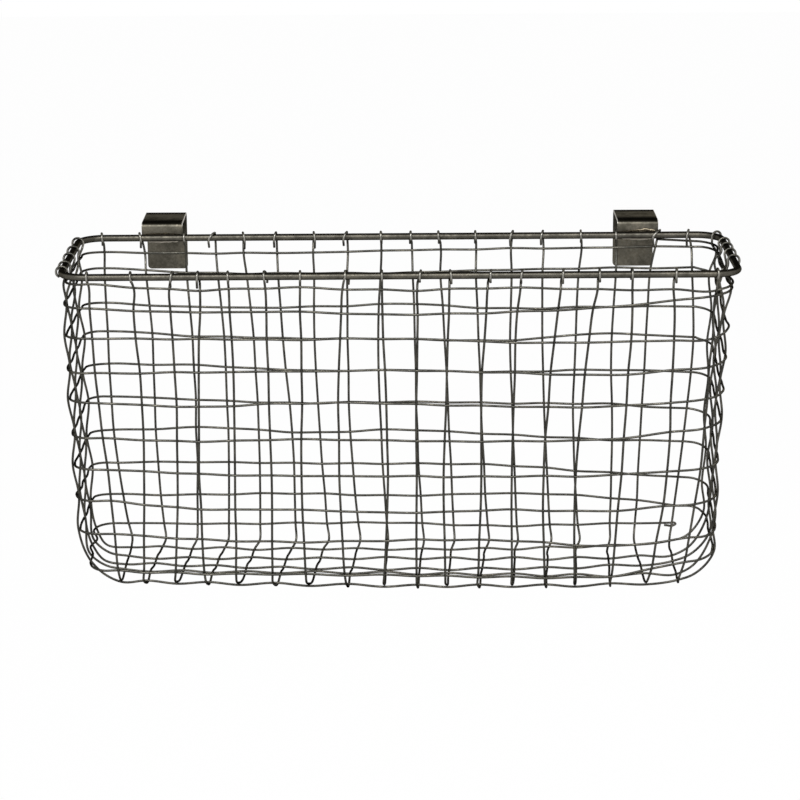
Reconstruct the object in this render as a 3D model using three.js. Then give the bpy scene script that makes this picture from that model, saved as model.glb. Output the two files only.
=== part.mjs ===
// Hanging storage basket: thin wire woven over and under on a heavy rod rim, with two flat strip hooks
// brazed to the back of the rim so that it hangs on a door, a board or a rail.
// Millimetres. +X runs along the basket to the right, +Y points at what it hangs on, +Z is up.
// The origin is on the edge that it hangs over: midway between the hooks, in the middle of their gap, at
// the underside of their top webs.

import * as THREE from "three";

// Rim: a rod bent into a rounded rectangle, measured outside
const rimLength = 450;
const rimDepth = 130;
const rodDiameter = 4.8;
const rimCornerRadius = 17;

// Wire mesh: its long walls start just outside the rod's centre line and its end walls inside the rod, and
// they lean in on the way down
const wireDiameter = 1.6;
const basketHeight = 219.5;
const wallStandoff = 3;
const endWallInset = 3.6;
const frontLean = 7;
const backLean = 25;
const leftLean = 3.5;
const rightFrontLean = 8;
const rightBackLean = 3.2;
const topCornerRadius = 15.5;
const wallCornerRadius = 13;
const frontBottomRadius = 14;
const backBottomRadius = 14;
const endBottomRadius = 29;

// Wire ends: the cross wires are wrapped over the rod from outside to inside, and the lengthwise wires
// from inside to outside
const crossWrapSlack = 0.2;
const crossWrapTail = 2.8;
const endLoopSlack = 0.5;

// How far each turn of the hoops' spiral runs on beyond the last cross wire at the back
const turnLap = 2;

// Hooks: flat strip bent to a U that is open downwards. The inset runs from the rim's end to a hook's
// middle.
const hookInset = 59;
const hookWidth = 28.5;
const hookThickness = 1.5;
const hookGap = 37;
const hookBendRadius = 1.5;
const hookRise = 10;
const hookFlangeDrop = 3.2;
const hookLegLength = 41;

// Braze: beads that fill the grooves between the rod and a hook's front flange
const beadLength = 24;
const beadWidth = 1.7;
const beadHeight = 1.3;

// Gap that every two pieces keep where they touch
const clearance = 0.3;

// Stations down a wall, from the rim to the bottom, over basketHeight
const depthStationShares = [0, 0.04, 0.1, 0.33, 0.66, 1];

// How much of its lean each wall has taken up at those stations, and how much of the change from the
// top corner radius to the wall corner radius has been made. The left wall bulges out before it leans in.
const frontLeanShares = [0, 0.14, 0.33, 0.73, 0.93, 1];
const backLeanShares = [0, 0.1, 0.25, 0.56, 0.7, 1];
const leftLeanShares = [0, -0.4, -0.57, -0.46, 0.17, 1];
const rightLeanShares = [0, 0.1, 0.19, 0.5, 0.9, 1];
const cornerChangeShares = [0, 0.4, 0.7, 1, 1, 1];

// Stations along a long wall, from left to right, over the length of the rim's centre line
const lengthStationShares = [0.04, 0.195, 0.35, 0.505, 0.66, 0.815, 0.97];

// Depth of the bottom below the rim at those stations, over basketHeight
const bottomDepthShares = [0.977, 0.987, 0.993, 0.998, 1.001, 0.999, 0.985];

// Where each cross wire runs, from left to right, over the length of the rim's centre line: down the
// front wall and down the back wall, each at the stations down a wall
const crossWireShares = [
  { front: [0.041, 0.045, 0.044, 0.049, 0.063, 0.073], back: [0.033, 0.036, 0.036, 0.04, 0.046, 0.071] },
  { front: [0.105, 0.111, 0.108, 0.115, 0.115, 0.108], back: [0.092, 0.099, 0.101, 0.11, 0.112, 0.124] },
  { front: [0.167, 0.162, 0.163, 0.166, 0.165, 0.156], back: [0.162, 0.164, 0.165, 0.173, 0.176, 0.174] },
  { front: [0.204, 0.208, 0.206, 0.201, 0.198, 0.202], back: [0.21, 0.211, 0.213, 0.223, 0.226, 0.224] },
  { front: [0.248, 0.249, 0.25, 0.253, 0.251, 0.249], back: [0.254, 0.254, 0.258, 0.269, 0.275, 0.274] },
  { front: [0.301, 0.303, 0.303, 0.304, 0.306, 0.304], back: [0.306, 0.307, 0.308, 0.315, 0.328, 0.332] },
  { front: [0.354, 0.354, 0.353, 0.354, 0.351, 0.356], back: [0.365, 0.364, 0.365, 0.365, 0.372, 0.384] },
  { front: [0.42, 0.416, 0.414, 0.408, 0.408, 0.415], back: [0.417, 0.418, 0.417, 0.417, 0.42, 0.434] },
  { front: [0.474, 0.474, 0.474, 0.478, 0.48, 0.473], back: [0.47, 0.471, 0.47, 0.465, 0.469, 0.478] },
  { front: [0.531, 0.526, 0.526, 0.524, 0.523, 0.523], back: [0.517, 0.519, 0.519, 0.523, 0.526, 0.535] },
  { front: [0.574, 0.573, 0.572, 0.569, 0.564, 0.567], back: [0.56, 0.564, 0.563, 0.57, 0.577, 0.584] },
  { front: [0.634, 0.629, 0.627, 0.621, 0.62, 0.615], back: [0.618, 0.62, 0.619, 0.623, 0.629, 0.639] },
  { front: [0.68, 0.677, 0.673, 0.669, 0.666, 0.667], back: [0.677, 0.674, 0.675, 0.673, 0.678, 0.685] },
  { front: [0.74, 0.736, 0.733, 0.722, 0.713, 0.717], back: [0.724, 0.725, 0.723, 0.723, 0.729, 0.738] },
  { front: [0.793, 0.79, 0.784, 0.773, 0.761, 0.762], back: [0.783, 0.785, 0.781, 0.775, 0.773, 0.783] },
  { front: [0.841, 0.841, 0.842, 0.837, 0.829, 0.816], back: [0.838, 0.839, 0.838, 0.832, 0.834, 0.831] },
  { front: [0.906, 0.902, 0.904, 0.903, 0.897, 0.872], back: [0.905, 0.9, 0.893, 0.886, 0.879, 0.87] },
  { front: [0.966, 0.964, 0.963, 0.957, 0.945, 0.92], back: [0.952, 0.957, 0.957, 0.96, 0.947, 0.926] },
];

// How far below the rim each hoop runs, from the top one down, over basketHeight: along the front wall
// and along the back wall, at the stations along a long wall
const hoopDepthShares = [
  {
    front: [0.019, 0.038, 0.032, 0.042, 0.037, 0.043, 0.047],
    back: [0.044, 0.052, 0.049, 0.044, 0.041, 0.038, 0.038],
  },
  {
    front: [0.093, 0.108, 0.107, 0.119, 0.112, 0.097, 0.062],
    back: [0.094, 0.112, 0.114, 0.114, 0.107, 0.103, 0.104],
  },
  {
    front: [0.187, 0.191, 0.194, 0.193, 0.207, 0.208, 0.198],
    back: [0.203, 0.219, 0.22, 0.212, 0.228, 0.225, 0.225],
  },
  {
    front: [0.297, 0.295, 0.294, 0.293, 0.302, 0.311, 0.285],
    back: [0.292, 0.311, 0.32, 0.323, 0.33, 0.31, 0.325],
  },
  {
    front: [0.387, 0.404, 0.394, 0.399, 0.408, 0.41, 0.386],
    back: [0.399, 0.406, 0.424, 0.424, 0.432, 0.427, 0.436],
  },
  {
    front: [0.5, 0.513, 0.508, 0.515, 0.518, 0.513, 0.474],
    back: [0.504, 0.519, 0.53, 0.528, 0.535, 0.539, 0.558],
  },
  {
    front: [0.597, 0.617, 0.624, 0.628, 0.63, 0.628, 0.606],
    back: [0.617, 0.609, 0.627, 0.62, 0.638, 0.656, 0.665],
  },
  {
    front: [0.696, 0.729, 0.732, 0.744, 0.737, 0.742, 0.713],
    back: [0.723, 0.723, 0.729, 0.731, 0.738, 0.763, 0.784],
  },
  {
    front: [0.802, 0.825, 0.837, 0.832, 0.835, 0.855, 0.821],
    back: [0.826, 0.829, 0.827, 0.837, 0.831, 0.843, 0.882],
  },
  {
    front: [0.925, 0.937, 0.942, 0.947, 0.955, 0.953, 0.886],
    back: [0.92, 0.925, 0.924, 0.926, 0.937, 0.932, 0.93],
  },
];

// Depth at which the spiral of hoops ends, above the top hoop at the back right corner
const spiralTopShare = 0.018;

// Where each lengthwise wire runs, from the back one forwards, over the depth of the rim's centre line:
// down the left and right end walls at the stations down a wall, and along the bottom at its left end,
// its middle and its right end
const lengthwiseShares = [
  {
    left: [0.855, 0.82, 0.79, 0.79, 0.76, 0.72],
    middle: 0.74,
    right: [0.943, 0.93, 0.92, 0.865, 0.835, 0.77],
  },
  {
    left: [0.647, 0.61, 0.58, 0.57, 0.55, 0.53],
    middle: 0.59,
    right: [0.759, 0.76, 0.75, 0.72, 0.65, 0.58],
  },
  {
    left: [0.455, 0.45, 0.45, 0.445, 0.44, 0.43],
    middle: 0.405,
    right: [0.639, 0.64, 0.63, 0.59, 0.51, 0.455],
  },
  {
    left: [0.264, 0.267, 0.27, 0.285, 0.3, 0.31],
    middle: 0.335,
    right: [0.479, 0.475, 0.46, 0.4, 0.32, 0.255],
  },
  {
    left: [0.128, 0.12, 0.115, 0.125, 0.135, 0.136],
    middle: 0.105,
    right: [0.327, 0.3, 0.275, 0.23, 0.17, 0.112],
  },
];

// Facets: sides of a round section, and the largest turn between two rings
const rodSides = 10;
const wireSides = 5;
const rodTurn = THREE.MathUtils.degToRad(18);
const wrapTurn = THREE.MathUtils.degToRad(45);
const meshTurn = THREE.MathUtils.degToRad(24);
const bendSegments = 4;

// Where wire ends meet the rod and leave it, as angles round it from where they come up, over its top
const wrapStart = THREE.MathUtils.degToRad(-25);
const wrapEnd = Math.PI;
const loopEnd = THREE.MathUtils.degToRad(230);

// Places that the pieces share
const rodRadius = rodDiameter / 2;
const wireRadius = wireDiameter / 2;
const halfLength = (rimLength - rodDiameter) / 2;
const centreDepth = rimDepth - rodDiameter;
const weaveOffset = (wireDiameter + clearance) / 2;
const crossWrapRadius = rodRadius + wireRadius + clearance + crossWrapSlack;
const endLoopRadius = rodRadius + wireRadius + clearance + endLoopSlack;
const rimBack = -hookGap / 2 - hookThickness - clearance - rodRadius;
const rimFront = rimBack - centreDepth;
const rimHeight = hookThickness - hookRise;
const hookMiddles = [hookInset - rimLength / 2, rimLength / 2 - hookInset];
const up = new THREE.Vector3(0, 0, 1);
const alongX = new THREE.Vector3(1, 0, 0);
const alongY = new THREE.Vector3(0, 1, 0);

// Colours of the dark antiqued steel and of the brazing metal
const agedSteel = { color: 0x3b372c, roughness: 0.42, metalness: 0.9 };
const stripSteel = { color: 0x46423a, roughness: 0.4, metalness: 0.9 };
const brazeMetal = { color: 0x6b5c3c, roughness: 0.5, metalness: 0.9 };

const basket = new THREE.Group();

function addPiece(name, geometry, look) {
  const piece = new THREE.Mesh(geometry, new THREE.MeshStandardMaterial(look));
  piece.name = name;
  basket.add(piece);
}

// A smooth curve through values at stations, read at a place between the first and the last of them
function smoothly(values, stations, place) {
  const last = values.length - 1;
  const inside = THREE.MathUtils.clamp(place, stations[0], stations[last]);
  const index = Math.min(stations.findLastIndex((station) => station <= inside), last - 1);
  const slopeAt = (middle) => {
    const before = Math.max(middle - 1, 0);
    const after = Math.min(middle + 1, last);
    return (values[after] - values[before]) / (stations[after] - stations[before]);
  };
  const width = stations[index + 1] - stations[index];
  const curve = new THREE.CubicBezierCurve();
  curve.v0.y = values[index];
  curve.v1.y = values[index] + (slopeAt(index) * width) / 3;
  curve.v2.y = values[index + 1] - (slopeAt(index + 1) * width) / 3;
  curve.v3.y = values[index + 1];
  return curve.getPoint((inside - stations[index]) / width).y;
}

function downWall(values, depthShare) {
  return smoothly(values, depthStationShares, depthShare);
}

function alongWall(values, lengthShare) {
  return smoothly(values, lengthStationShares, lengthShare);
}

function frontWall(depthShare) {
  return rimFront - wallStandoff + frontLean * downWall(frontLeanShares, depthShare);
}

function backWall(depthShare) {
  return rimBack + wallStandoff - backLean * downWall(backLeanShares, depthShare);
}

// The end walls reach less far at the front than at the back
function endWall(side, depthShare, y) {
  const rightLean = THREE.MathUtils.lerp(rightFrontLean, rightBackLean, (y - rimFront) / centreDepth);
  const lean = side < 0 ? leftLean : rightLean;
  const leanShares = side < 0 ? leftLeanShares : rightLeanShares;
  return side * (halfLength - endWallInset - lean * downWall(leanShares, depthShare));
}

function cornerRadius(depthShare) {
  return THREE.MathUtils.lerp(topCornerRadius, wallCornerRadius, downWall(cornerChangeShares, depthShare));
}

// Where a round corner has brought a surface, at a distance from the wall that it turns into
function cornerArc(distance, radius) {
  const sine = THREE.MathUtils.clamp((radius - distance) / radius, 0, 1);
  return { inset: radius * (1 - Math.sqrt(1 - sine * sine)), turn: Math.asin(sine) };
}

function xAt(lengthShare) {
  return (2 * lengthShare - 1) * halfLength;
}

function bottomDepth(lengthShare) {
  return basketHeight * alongWall(bottomDepthShares, lengthShare);
}

// The share of the rim's length where an end wall's tables start
function endStation(side) {
  return side < 0 ? lengthStationShares[0] : lengthStationShares[lengthStationShares.length - 1];
}

// A place on the middle of the mesh, with the direction that points out of the basket there
function onLongWall(side, lengthShare, depthShare) {
  const x = xAt(lengthShare);
  const end = Math.sign(x);
  const wall = side < 0 ? frontWall(depthShare) : backWall(depthShare);
  const bottomRadius = side < 0 ? frontBottomRadius : backBottomRadius;
  const plan = cornerArc(end * (endWall(end, depthShare, wall) - x), cornerRadius(depthShare));
  const foot = cornerArc(bottomDepth(lengthShare) - basketHeight * depthShare, bottomRadius);
  const y = wall - side * (plan.inset + foot.inset);
  const point = new THREE.Vector3(x, y, rimHeight - basketHeight * depthShare);
  const level = Math.cos(foot.turn);
  const outward = new THREE.Vector3(
    end * Math.sin(plan.turn) * level,
    side * Math.cos(plan.turn) * level,
    -Math.sin(foot.turn),
  );
  return { point, outward, turn: plan.turn };
}

function onEndWall(side, y, depthShare) {
  const toFront = y - frontWall(depthShare);
  const toBack = backWall(depthShare) - y;
  const plan = cornerArc(Math.min(toFront, toBack), cornerRadius(depthShare));
  const edge = toFront < toBack ? -1 : 1;
  const foot = cornerArc(bottomDepth(endStation(side)) - basketHeight * depthShare, endBottomRadius);
  const x = endWall(side, depthShare, y) - side * (plan.inset + foot.inset);
  const point = new THREE.Vector3(x, y, rimHeight - basketHeight * depthShare);
  const level = Math.cos(foot.turn);
  const outward = new THREE.Vector3(
    side * Math.cos(plan.turn) * level,
    edge * Math.sin(plan.turn) * level,
    -Math.sin(foot.turn),
  );
  return { point, outward, turn: plan.turn };
}

function onBottom(lengthShare, y) {
  const x = xAt(lengthShare);
  const end = Math.sign(x);
  const front = cornerArc(y - frontWall(1), frontBottomRadius);
  const back = cornerArc(backWall(1) - y, backBottomRadius);
  const side = cornerArc(end * (endWall(end, 1, y) - x), endBottomRadius);
  const z = rimHeight - bottomDepth(lengthShare) + front.inset + back.inset + side.inset;
  const lift = Math.sin(back.turn) - Math.sin(front.turn);
  const outward = new THREE.Vector3(end * Math.sin(side.turn), lift, -1);
  return { point: new THREE.Vector3(x, y, z), outward: outward.normalize() };
}

// A place on the upright corner between a long wall and an end wall
function onUprightCorner(end, side, depthShare, turn) {
  const wall = side < 0 ? frontWall(depthShare) : backWall(depthShare);
  const radius = cornerRadius(depthShare);
  const height = bottomDepth(endStation(end)) - basketHeight * depthShare;
  const endFoot = cornerArc(height, endBottomRadius);
  const sideFoot = cornerArc(height, side < 0 ? frontBottomRadius : backBottomRadius);
  const x = endWall(end, depthShare, wall) - end * (radius * (1 - Math.sin(turn)) + endFoot.inset);
  const y = wall - side * (radius * (1 - Math.cos(turn)) + sideFoot.inset);
  return new THREE.Vector3(x, y, rimHeight - basketHeight * depthShare);
}

// The depth at which a bottom corner has turned so far from the wall
function cornerDepthShare(lengthShare, radius, turn) {
  return (bottomDepth(lengthShare) - radius * (1 - Math.sin(turn))) / basketHeight;
}

// Where wires meet. Each meeting is found by letting the two wires' tables settle on each other.
const settleRounds = 5;

function wallMeeting(side, cross, hoop) {
  const wall = side < 0 ? "front" : "back";
  let depthShare = hoop[wall][0];
  let lengthShare = cross[wall][0];
  for (let round = 0; round < settleRounds; round += 1) {
    lengthShare = downWall(cross[wall], depthShare);
    depthShare = alongWall(hoop[wall], lengthShare);
  }
  return onLongWall(side, lengthShare, depthShare);
}

function lengthwiseY(depthwiseShare) {
  return rimFront + centreDepth * depthwiseShare;
}

// The hoops are the turns of one spiral: round the right end each rises to the level of the one above
const spiralTop = { back: lengthStationShares.map(() => spiralTopShare) };

function turnAbove(row) {
  return row > 0 ? hoopDepthShares[row - 1] : spiralTop;
}

function endMeeting(side, lengthwise, row) {
  const run = side < 0 ? lengthwise.left : lengthwise.right;
  const atBack = side < 0 ? hoopDepthShares[row] : turnAbove(row);
  const frontDepth = alongWall(hoopDepthShares[row].front, endStation(side));
  const backDepth = alongWall(atBack.back, endStation(side));
  let yShare = run[0];
  let depthShare = frontDepth;
  for (let round = 0; round < settleRounds; round += 1) {
    depthShare = THREE.MathUtils.lerp(frontDepth, backDepth, yShare);
    yShare = downWall(run, depthShare);
  }
  return onEndWall(side, lengthwiseY(yShare), depthShare);
}

function bottomMeeting(cross, lengthwise) {
  const front = cross.front.at(-1);
  const back = cross.back.at(-1);
  const yShares = [lengthwise.left.at(-1), lengthwise.middle, lengthwise.right.at(-1)];
  const stations = [endStation(-1), (endStation(-1) + endStation(1)) / 2, endStation(1)];
  let lengthShare = front;
  let yShare = lengthwise.middle;
  for (let round = 0; round < settleRounds; round += 1) {
    yShare = smoothly(yShares, stations, lengthShare);
    lengthShare = THREE.MathUtils.lerp(front, back, yShare);
  }
  return onBottom(lengthShare, lengthwiseY(yShare));
}

// Plain weave: wires take turns to pass outside, counted round the basket and down it
const crossCount = crossWireShares.length;
const hoopCount = hoopDepthShares.length;
const lengthwiseCount = lengthwiseShares.length;

function alternating(count) {
  return count % 2 === 0 ? 1 : -1;
}

function woven(meeting, sign) {
  return meeting.point.clone().addScaledVector(meeting.outward, sign * weaveOffset);
}

function ringPlace(kind, index) {
  if (kind === "front") return index;
  if (kind === "right") return crossCount + lengthwiseCount - 1 - index;
  if (kind === "back") return 2 * crossCount + lengthwiseCount - 1 - index;
  return 2 * crossCount + lengthwiseCount + index;
}

// The rod's centre line and its outward direction beside a cross wire or a lengthwise wire
function rodBesideCross(side, lengthShare) {
  const x = xAt(lengthShare);
  const end = Math.sign(x);
  const arc = cornerArc(halfLength - end * x, rimCornerRadius);
  const y = (side < 0 ? rimFront : rimBack) - side * arc.inset;
  const outward = new THREE.Vector3(end * Math.sin(arc.turn), side * Math.cos(arc.turn), 0);
  return { point: new THREE.Vector3(x, y, rimHeight), outward };
}

function rodBesideLengthwise(side, yShare) {
  const y = lengthwiseY(yShare);
  const edge = yShare < 0.5 ? -1 : 1;
  const toEdge = edge < 0 ? y - rimFront : rimBack - y;
  const arc = cornerArc(toEdge, rimCornerRadius);
  const outward = new THREE.Vector3(side * Math.cos(arc.turn), edge * Math.sin(arc.turn), 0);
  return { point: new THREE.Vector3(side * (halfLength - arc.inset), y, rimHeight), outward };
}

// A cross wire whose end would land on a hook is bent to the nearer side of it
function besideHooks(lengthShare) {
  const reach = hookWidth / 2 + wireRadius + clearance;
  const x = xAt(lengthShare);
  const hook = hookMiddles.find((middle) => Math.abs(x - middle) < reach);
  if (hook === undefined) return lengthShare;
  return (1 + (hook + Math.sign(x - hook) * reach) / halfLength) / 2;
}

// A wire end that comes up on the rod's outward side, goes over it and ends on the other side
function wrapOverRod(rod, radius, lastAngle, tail) {
  const steps = Math.ceil((lastAngle - wrapStart) / wrapTurn);
  const points = [];
  for (let step = 0; step <= steps; step += 1) {
    const angle = THREE.MathUtils.lerp(wrapStart, lastAngle, step / steps);
    const point = rod.point.clone().addScaledVector(rod.outward, radius * Math.cos(angle));
    points.push(point.addScaledVector(up, radius * Math.sin(angle)));
  }
  if (tail > 0) {
    const end = rod.point.clone().addScaledVector(rod.outward, -radius);
    points.push(end.addScaledVector(up, -rodRadius - tail));
  }
  return points;
}

// A round bar through a list of points, as one closed body. Its rings are set square to the run, with
// their first corner square to the reference direction. A ring joins its last point to its first.
function bar(points, radius, sides, reference, isRing) {
  const count = points.length;
  const positions = [];
  const faces = [];
  for (let index = 0; index < count; index += 1) {
    const before = points[isRing ? (index + count - 1) % count : Math.max(index - 1, 0)];
    const after = points[isRing ? (index + 1) % count : Math.min(index + 1, count - 1)];
    const into = points[index].clone().sub(before).normalize();
    const away = after.clone().sub(points[index]).normalize();
    const run = into.add(away).normalize();
    const across = reference.clone().cross(run).normalize();
    const over = run.clone().cross(across);
    for (let side = 0; side < sides; side += 1) {
      const angle = (2 * Math.PI * side) / sides;
      const corner = points[index].clone().addScaledVector(across, radius * Math.cos(angle));
      corner.addScaledVector(over, radius * Math.sin(angle));
      positions.push(corner.x, corner.y, corner.z);
    }
  }
  const spans = isRing ? count : count - 1;
  for (let span = 0; span < spans; span += 1) {
    const near = span * sides;
    const far = ((span + 1) % count) * sides;
    for (let side = 0; side < sides; side += 1) {
      const next = (side + 1) % sides;
      faces.push(near + side, near + next, far + next);
      faces.push(near + side, far + next, far + side);
    }
  }
  if (!isRing) {
    const end = (count - 1) * sides;
    for (let side = 1; side < sides - 1; side += 1) {
      faces.push(0, side + 1, side);
      faces.push(end, end + side, end + side + 1);
    }
  }
  const geometry = new THREE.BufferGeometry();
  geometry.setAttribute("position", new THREE.Float32BufferAttribute(positions, 3));
  geometry.setIndex(faces);
  return geometry;
}

function wire(points, reference, isRing) {
  return bar(points, wireRadius, wireSides, reference, isRing);
}

// Rim
function rimPoints() {
  const points = [];
  const steps = Math.ceil(Math.PI / 2 / rodTurn);
  const corners = [[1, rimBack, 1], [-1, rimBack, 1], [-1, rimFront, -1], [1, rimFront, -1]];
  corners.forEach(([end, edge, side], quarter) => {
    const centreX = end * (halfLength - rimCornerRadius);
    const centreY = edge - side * rimCornerRadius;
    for (let step = 0; step <= steps; step += 1) {
      const angle = (Math.PI / 2) * (quarter + step / steps);
      const x = centreX + rimCornerRadius * Math.cos(angle);
      points.push(new THREE.Vector3(x, centreY + rimCornerRadius * Math.sin(angle), rimHeight));
    }
  });
  return points;
}

addPiece("rim", bar(rimPoints(), rodRadius, rodSides, up, true), agedSteel);

// Cross wires: down the front wall, along the bottom and up the back wall
function crossWirePoints(cross, index) {
  const frontRod = rodBesideCross(-1, cross.front[0]);
  const backRod = rodBesideCross(1, besideHooks(cross.back[0]));
  const points = wrapOverRod(frontRod, crossWrapRadius, wrapEnd, crossWrapTail).reverse();
  hoopDepthShares.forEach((hoop, row) => {
    points.push(woven(wallMeeting(-1, cross, hoop), alternating(ringPlace("front", index) + row + 1)));
  });
  const cornerTurn = Math.PI / 4;
  const frontFoot = cross.front.at(-1);
  const backFoot = cross.back.at(-1);
  const frontCornerDepth = cornerDepthShare(frontFoot, frontBottomRadius, cornerTurn);
  const backCornerDepth = cornerDepthShare(backFoot, backBottomRadius, cornerTurn);
  points.push(onLongWall(-1, frontFoot, frontCornerDepth).point);
  for (let column = lengthwiseCount - 1; column >= 0; column -= 1) {
    const sign = alternating(index + lengthwiseCount - column);
    points.push(woven(bottomMeeting(cross, lengthwiseShares[column]), sign));
  }
  points.push(onLongWall(1, backFoot, backCornerDepth).point);
  for (let row = hoopCount - 1; row >= 0; row -= 1) {
    const sign = alternating(ringPlace("back", index) + row + 1);
    points.push(woven(wallMeeting(1, cross, hoopDepthShares[row]), sign));
  }
  const backWrap = wrapOverRod(backRod, crossWrapRadius, wrapEnd, crossWrapTail);
  points.push(backWrap[0].clone().setZ(rimHeight - hookFlangeDrop - wireRadius - clearance));
  points.push(...backWrap);
  return points;
}

crossWireShares.forEach((cross, index) => {
  const name = `cross_wire_${String(index + 1).padStart(2, "0")}`;
  addPiece(name, wire(crossWirePoints(cross, index), alongX, false), agedSteel);
});

// Lengthwise wires: down the left end wall, along the bottom and up the right end wall
function endRunPoints(side, lengthwise, column) {
  const run = side < 0 ? lengthwise.left : lengthwise.right;
  const place = ringPlace(side < 0 ? "left" : "right", column);
  const rod = rodBesideLengthwise(side, run[0]);
  rod.outward.negate();
  const points = wrapOverRod(rod, endLoopRadius, loopEnd, 0).reverse();
  hoopDepthShares.forEach((hoop, row) => {
    points.push(woven(endMeeting(side, lengthwise, row), alternating(place + row + 1)));
  });
  const cornerTurn = Math.PI / 3;
  const cornerDepth = cornerDepthShare(endStation(side), endBottomRadius, cornerTurn);
  points.push(onEndWall(side, lengthwiseY(run.at(-1)), cornerDepth).point);
  return points;
}

function lengthwisePoints(lengthwise, column) {
  const points = endRunPoints(-1, lengthwise, column);
  crossWireShares.forEach((cross, index) => {
    const sign = -alternating(index + lengthwiseCount - column);
    points.push(woven(bottomMeeting(cross, lengthwise), sign));
  });
  points.push(...endRunPoints(1, lengthwise, column).reverse());
  return points;
}

lengthwiseShares.forEach((lengthwise, column) => {
  const name = `lengthwise_wire_${column + 1}`;
  addPiece(name, wire(lengthwisePoints(lengthwise, column), alongY, false), agedSteel);
});

// Hoops: once round the four walls each, and open at the back right corner, where each hands over to the
// one above
function cornerBetween(end, side, cross, lengthwise, onWall, row) {
  const onEnd = endMeeting(end, lengthwise, row);
  const startTurn = onWall.turn;
  const endTurn = Math.PI / 2 - onEnd.turn;
  const steps = Math.max(Math.ceil((endTurn - startTurn) / meshTurn), 1);
  const startShare = (rimHeight - onWall.point.z) / basketHeight;
  const endShare = (rimHeight - onEnd.point.z) / basketHeight;
  const points = [];
  for (let step = 1; step < steps; step += 1) {
    const depthShare = THREE.MathUtils.lerp(startShare, endShare, step / steps);
    const turn = THREE.MathUtils.lerp(startTurn, endTurn, step / steps);
    points.push(onUprightCorner(end, side, depthShare, turn));
  }
  return points;
}

function wallCrossing(side, index, hoop, row) {
  const place = ringPlace(side < 0 ? "front" : "back", index);
  return woven(wallMeeting(side, crossWireShares[index], hoop), -alternating(place + row + 1));
}

function turnStart(hoop, row) {
  const last = wallCrossing(1, crossCount - 1, hoop, row);
  const direction = last.clone().sub(wallCrossing(1, crossCount - 2, hoop, row)).normalize();
  return { point: last.addScaledVector(direction, turnLap), direction };
}

function hoopPoints(hoop, row) {
  const firstCross = crossWireShares[0];
  const lastCross = crossWireShares[crossCount - 1];
  const backWire = lengthwiseShares[0];
  const frontWire = lengthwiseShares[lengthwiseCount - 1];
  const above = turnAbove(row);
  const next = turnStart(above, row - 1);
  const corner = (end, side, cross, lengthwise, onWallHoop) => {
    return cornerBetween(end, side, cross, lengthwise, wallMeeting(side, cross, onWallHoop), row);
  };
  const wallRun = (side) => crossWireShares.map((cross, index) => wallCrossing(side, index, hoop, row));
  const endRun = (side) => lengthwiseShares.map((lengthwise, column) => {
    const place = ringPlace(side < 0 ? "left" : "right", column);
    return woven(endMeeting(side, lengthwise, row), -alternating(place + row + 1));
  });
  return [
    turnStart(hoop, row).point,
    ...wallRun(1).reverse(),
    ...corner(-1, 1, firstCross, backWire, hoop),
    ...endRun(-1),
    ...corner(-1, -1, firstCross, frontWire, hoop).reverse(),
    ...wallRun(-1),
    ...corner(1, -1, lastCross, frontWire, hoop),
    ...endRun(1).reverse(),
    ...corner(1, 1, lastCross, backWire, above).reverse(),
    next.point.addScaledVector(next.direction, 2 * clearance),
  ];
}

hoopDepthShares.forEach((hoop, row) => {
  const name = `hoop_${String(row + 1).padStart(2, "0")}`;
  addPiece(name, wire(hoopPoints(hoop, row), up, false), agedSteel);
});

// A section drawn in Y and Z, drawn out along X about a middle place
function alongBasket(section, length, middle) {
  const geometry = new THREE.ExtrudeGeometry(section, {
    depth: length,
    bevelEnabled: false,
    curveSegments: bendSegments,
  });
  const turned = new THREE.Matrix4().makeBasis(alongY, up, alongX);
  return geometry.applyMatrix4(turned).translate(middle - length / 2, 0, 0);
}

// Hooks
function hookSection() {
  const front = -hookGap / 2;
  const back = hookGap / 2;
  const outerRadius = hookBendRadius + hookThickness;
  const flangeEnd = rimHeight - hookFlangeDrop;
  const legEnd = hookThickness - hookLegLength;
  const section = new THREE.Shape();
  section.moveTo(front, flangeEnd);
  section.lineTo(front, -hookBendRadius);
  section.absarc(front + hookBendRadius, -hookBendRadius, hookBendRadius, Math.PI, Math.PI / 2, true);
  section.lineTo(back - hookBendRadius, 0);
  section.absarc(back - hookBendRadius, -hookBendRadius, hookBendRadius, Math.PI / 2, 0, true);
  section.lineTo(back, legEnd);
  section.lineTo(back + hookThickness, legEnd);
  section.lineTo(back + hookThickness, -hookBendRadius);
  section.absarc(back - hookBendRadius, -hookBendRadius, outerRadius, 0, Math.PI / 2, false);
  section.lineTo(front + hookBendRadius, hookThickness);
  section.absarc(front + hookBendRadius, -hookBendRadius, outerRadius, Math.PI / 2, Math.PI, false);
  section.lineTo(front - hookThickness, flangeEnd);
  section.closePath();
  return section;
}

// Braze bead: hugs the rod over an arc and stands against the hook's front flange
function beadSection(direction) {
  const hug = rodRadius + clearance;
  const flangeFace = rimBack + rodRadius;
  const seat = Math.acos(rodRadius / hug);
  const crown = Math.acos((rodRadius - beadWidth) / hug);
  const section = new THREE.Shape();
  section.moveTo(flangeFace, rimHeight + direction * (hug * Math.sin(crown) + beadHeight));
  for (let step = 0; step <= bendSegments; step += 1) {
    const angle = THREE.MathUtils.lerp(crown, seat, step / bendSegments);
    section.lineTo(rimBack + hug * Math.cos(angle), rimHeight + direction * hug * Math.sin(angle));
  }
  section.closePath();
  return section;
}

for (const [index, name] of ["left", "right"].entries()) {
  const middle = hookMiddles[index];
  addPiece(`${name}_hook`, alongBasket(hookSection(), hookWidth, middle), stripSteel);
  addPiece(`${name}_hook_upper_braze`, alongBasket(beadSection(1), beadLength, middle), brazeMetal);
  addPiece(`${name}_hook_lower_braze`, alongBasket(beadSection(-1), beadLength, middle), brazeMetal);
}

export default basket;
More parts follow.
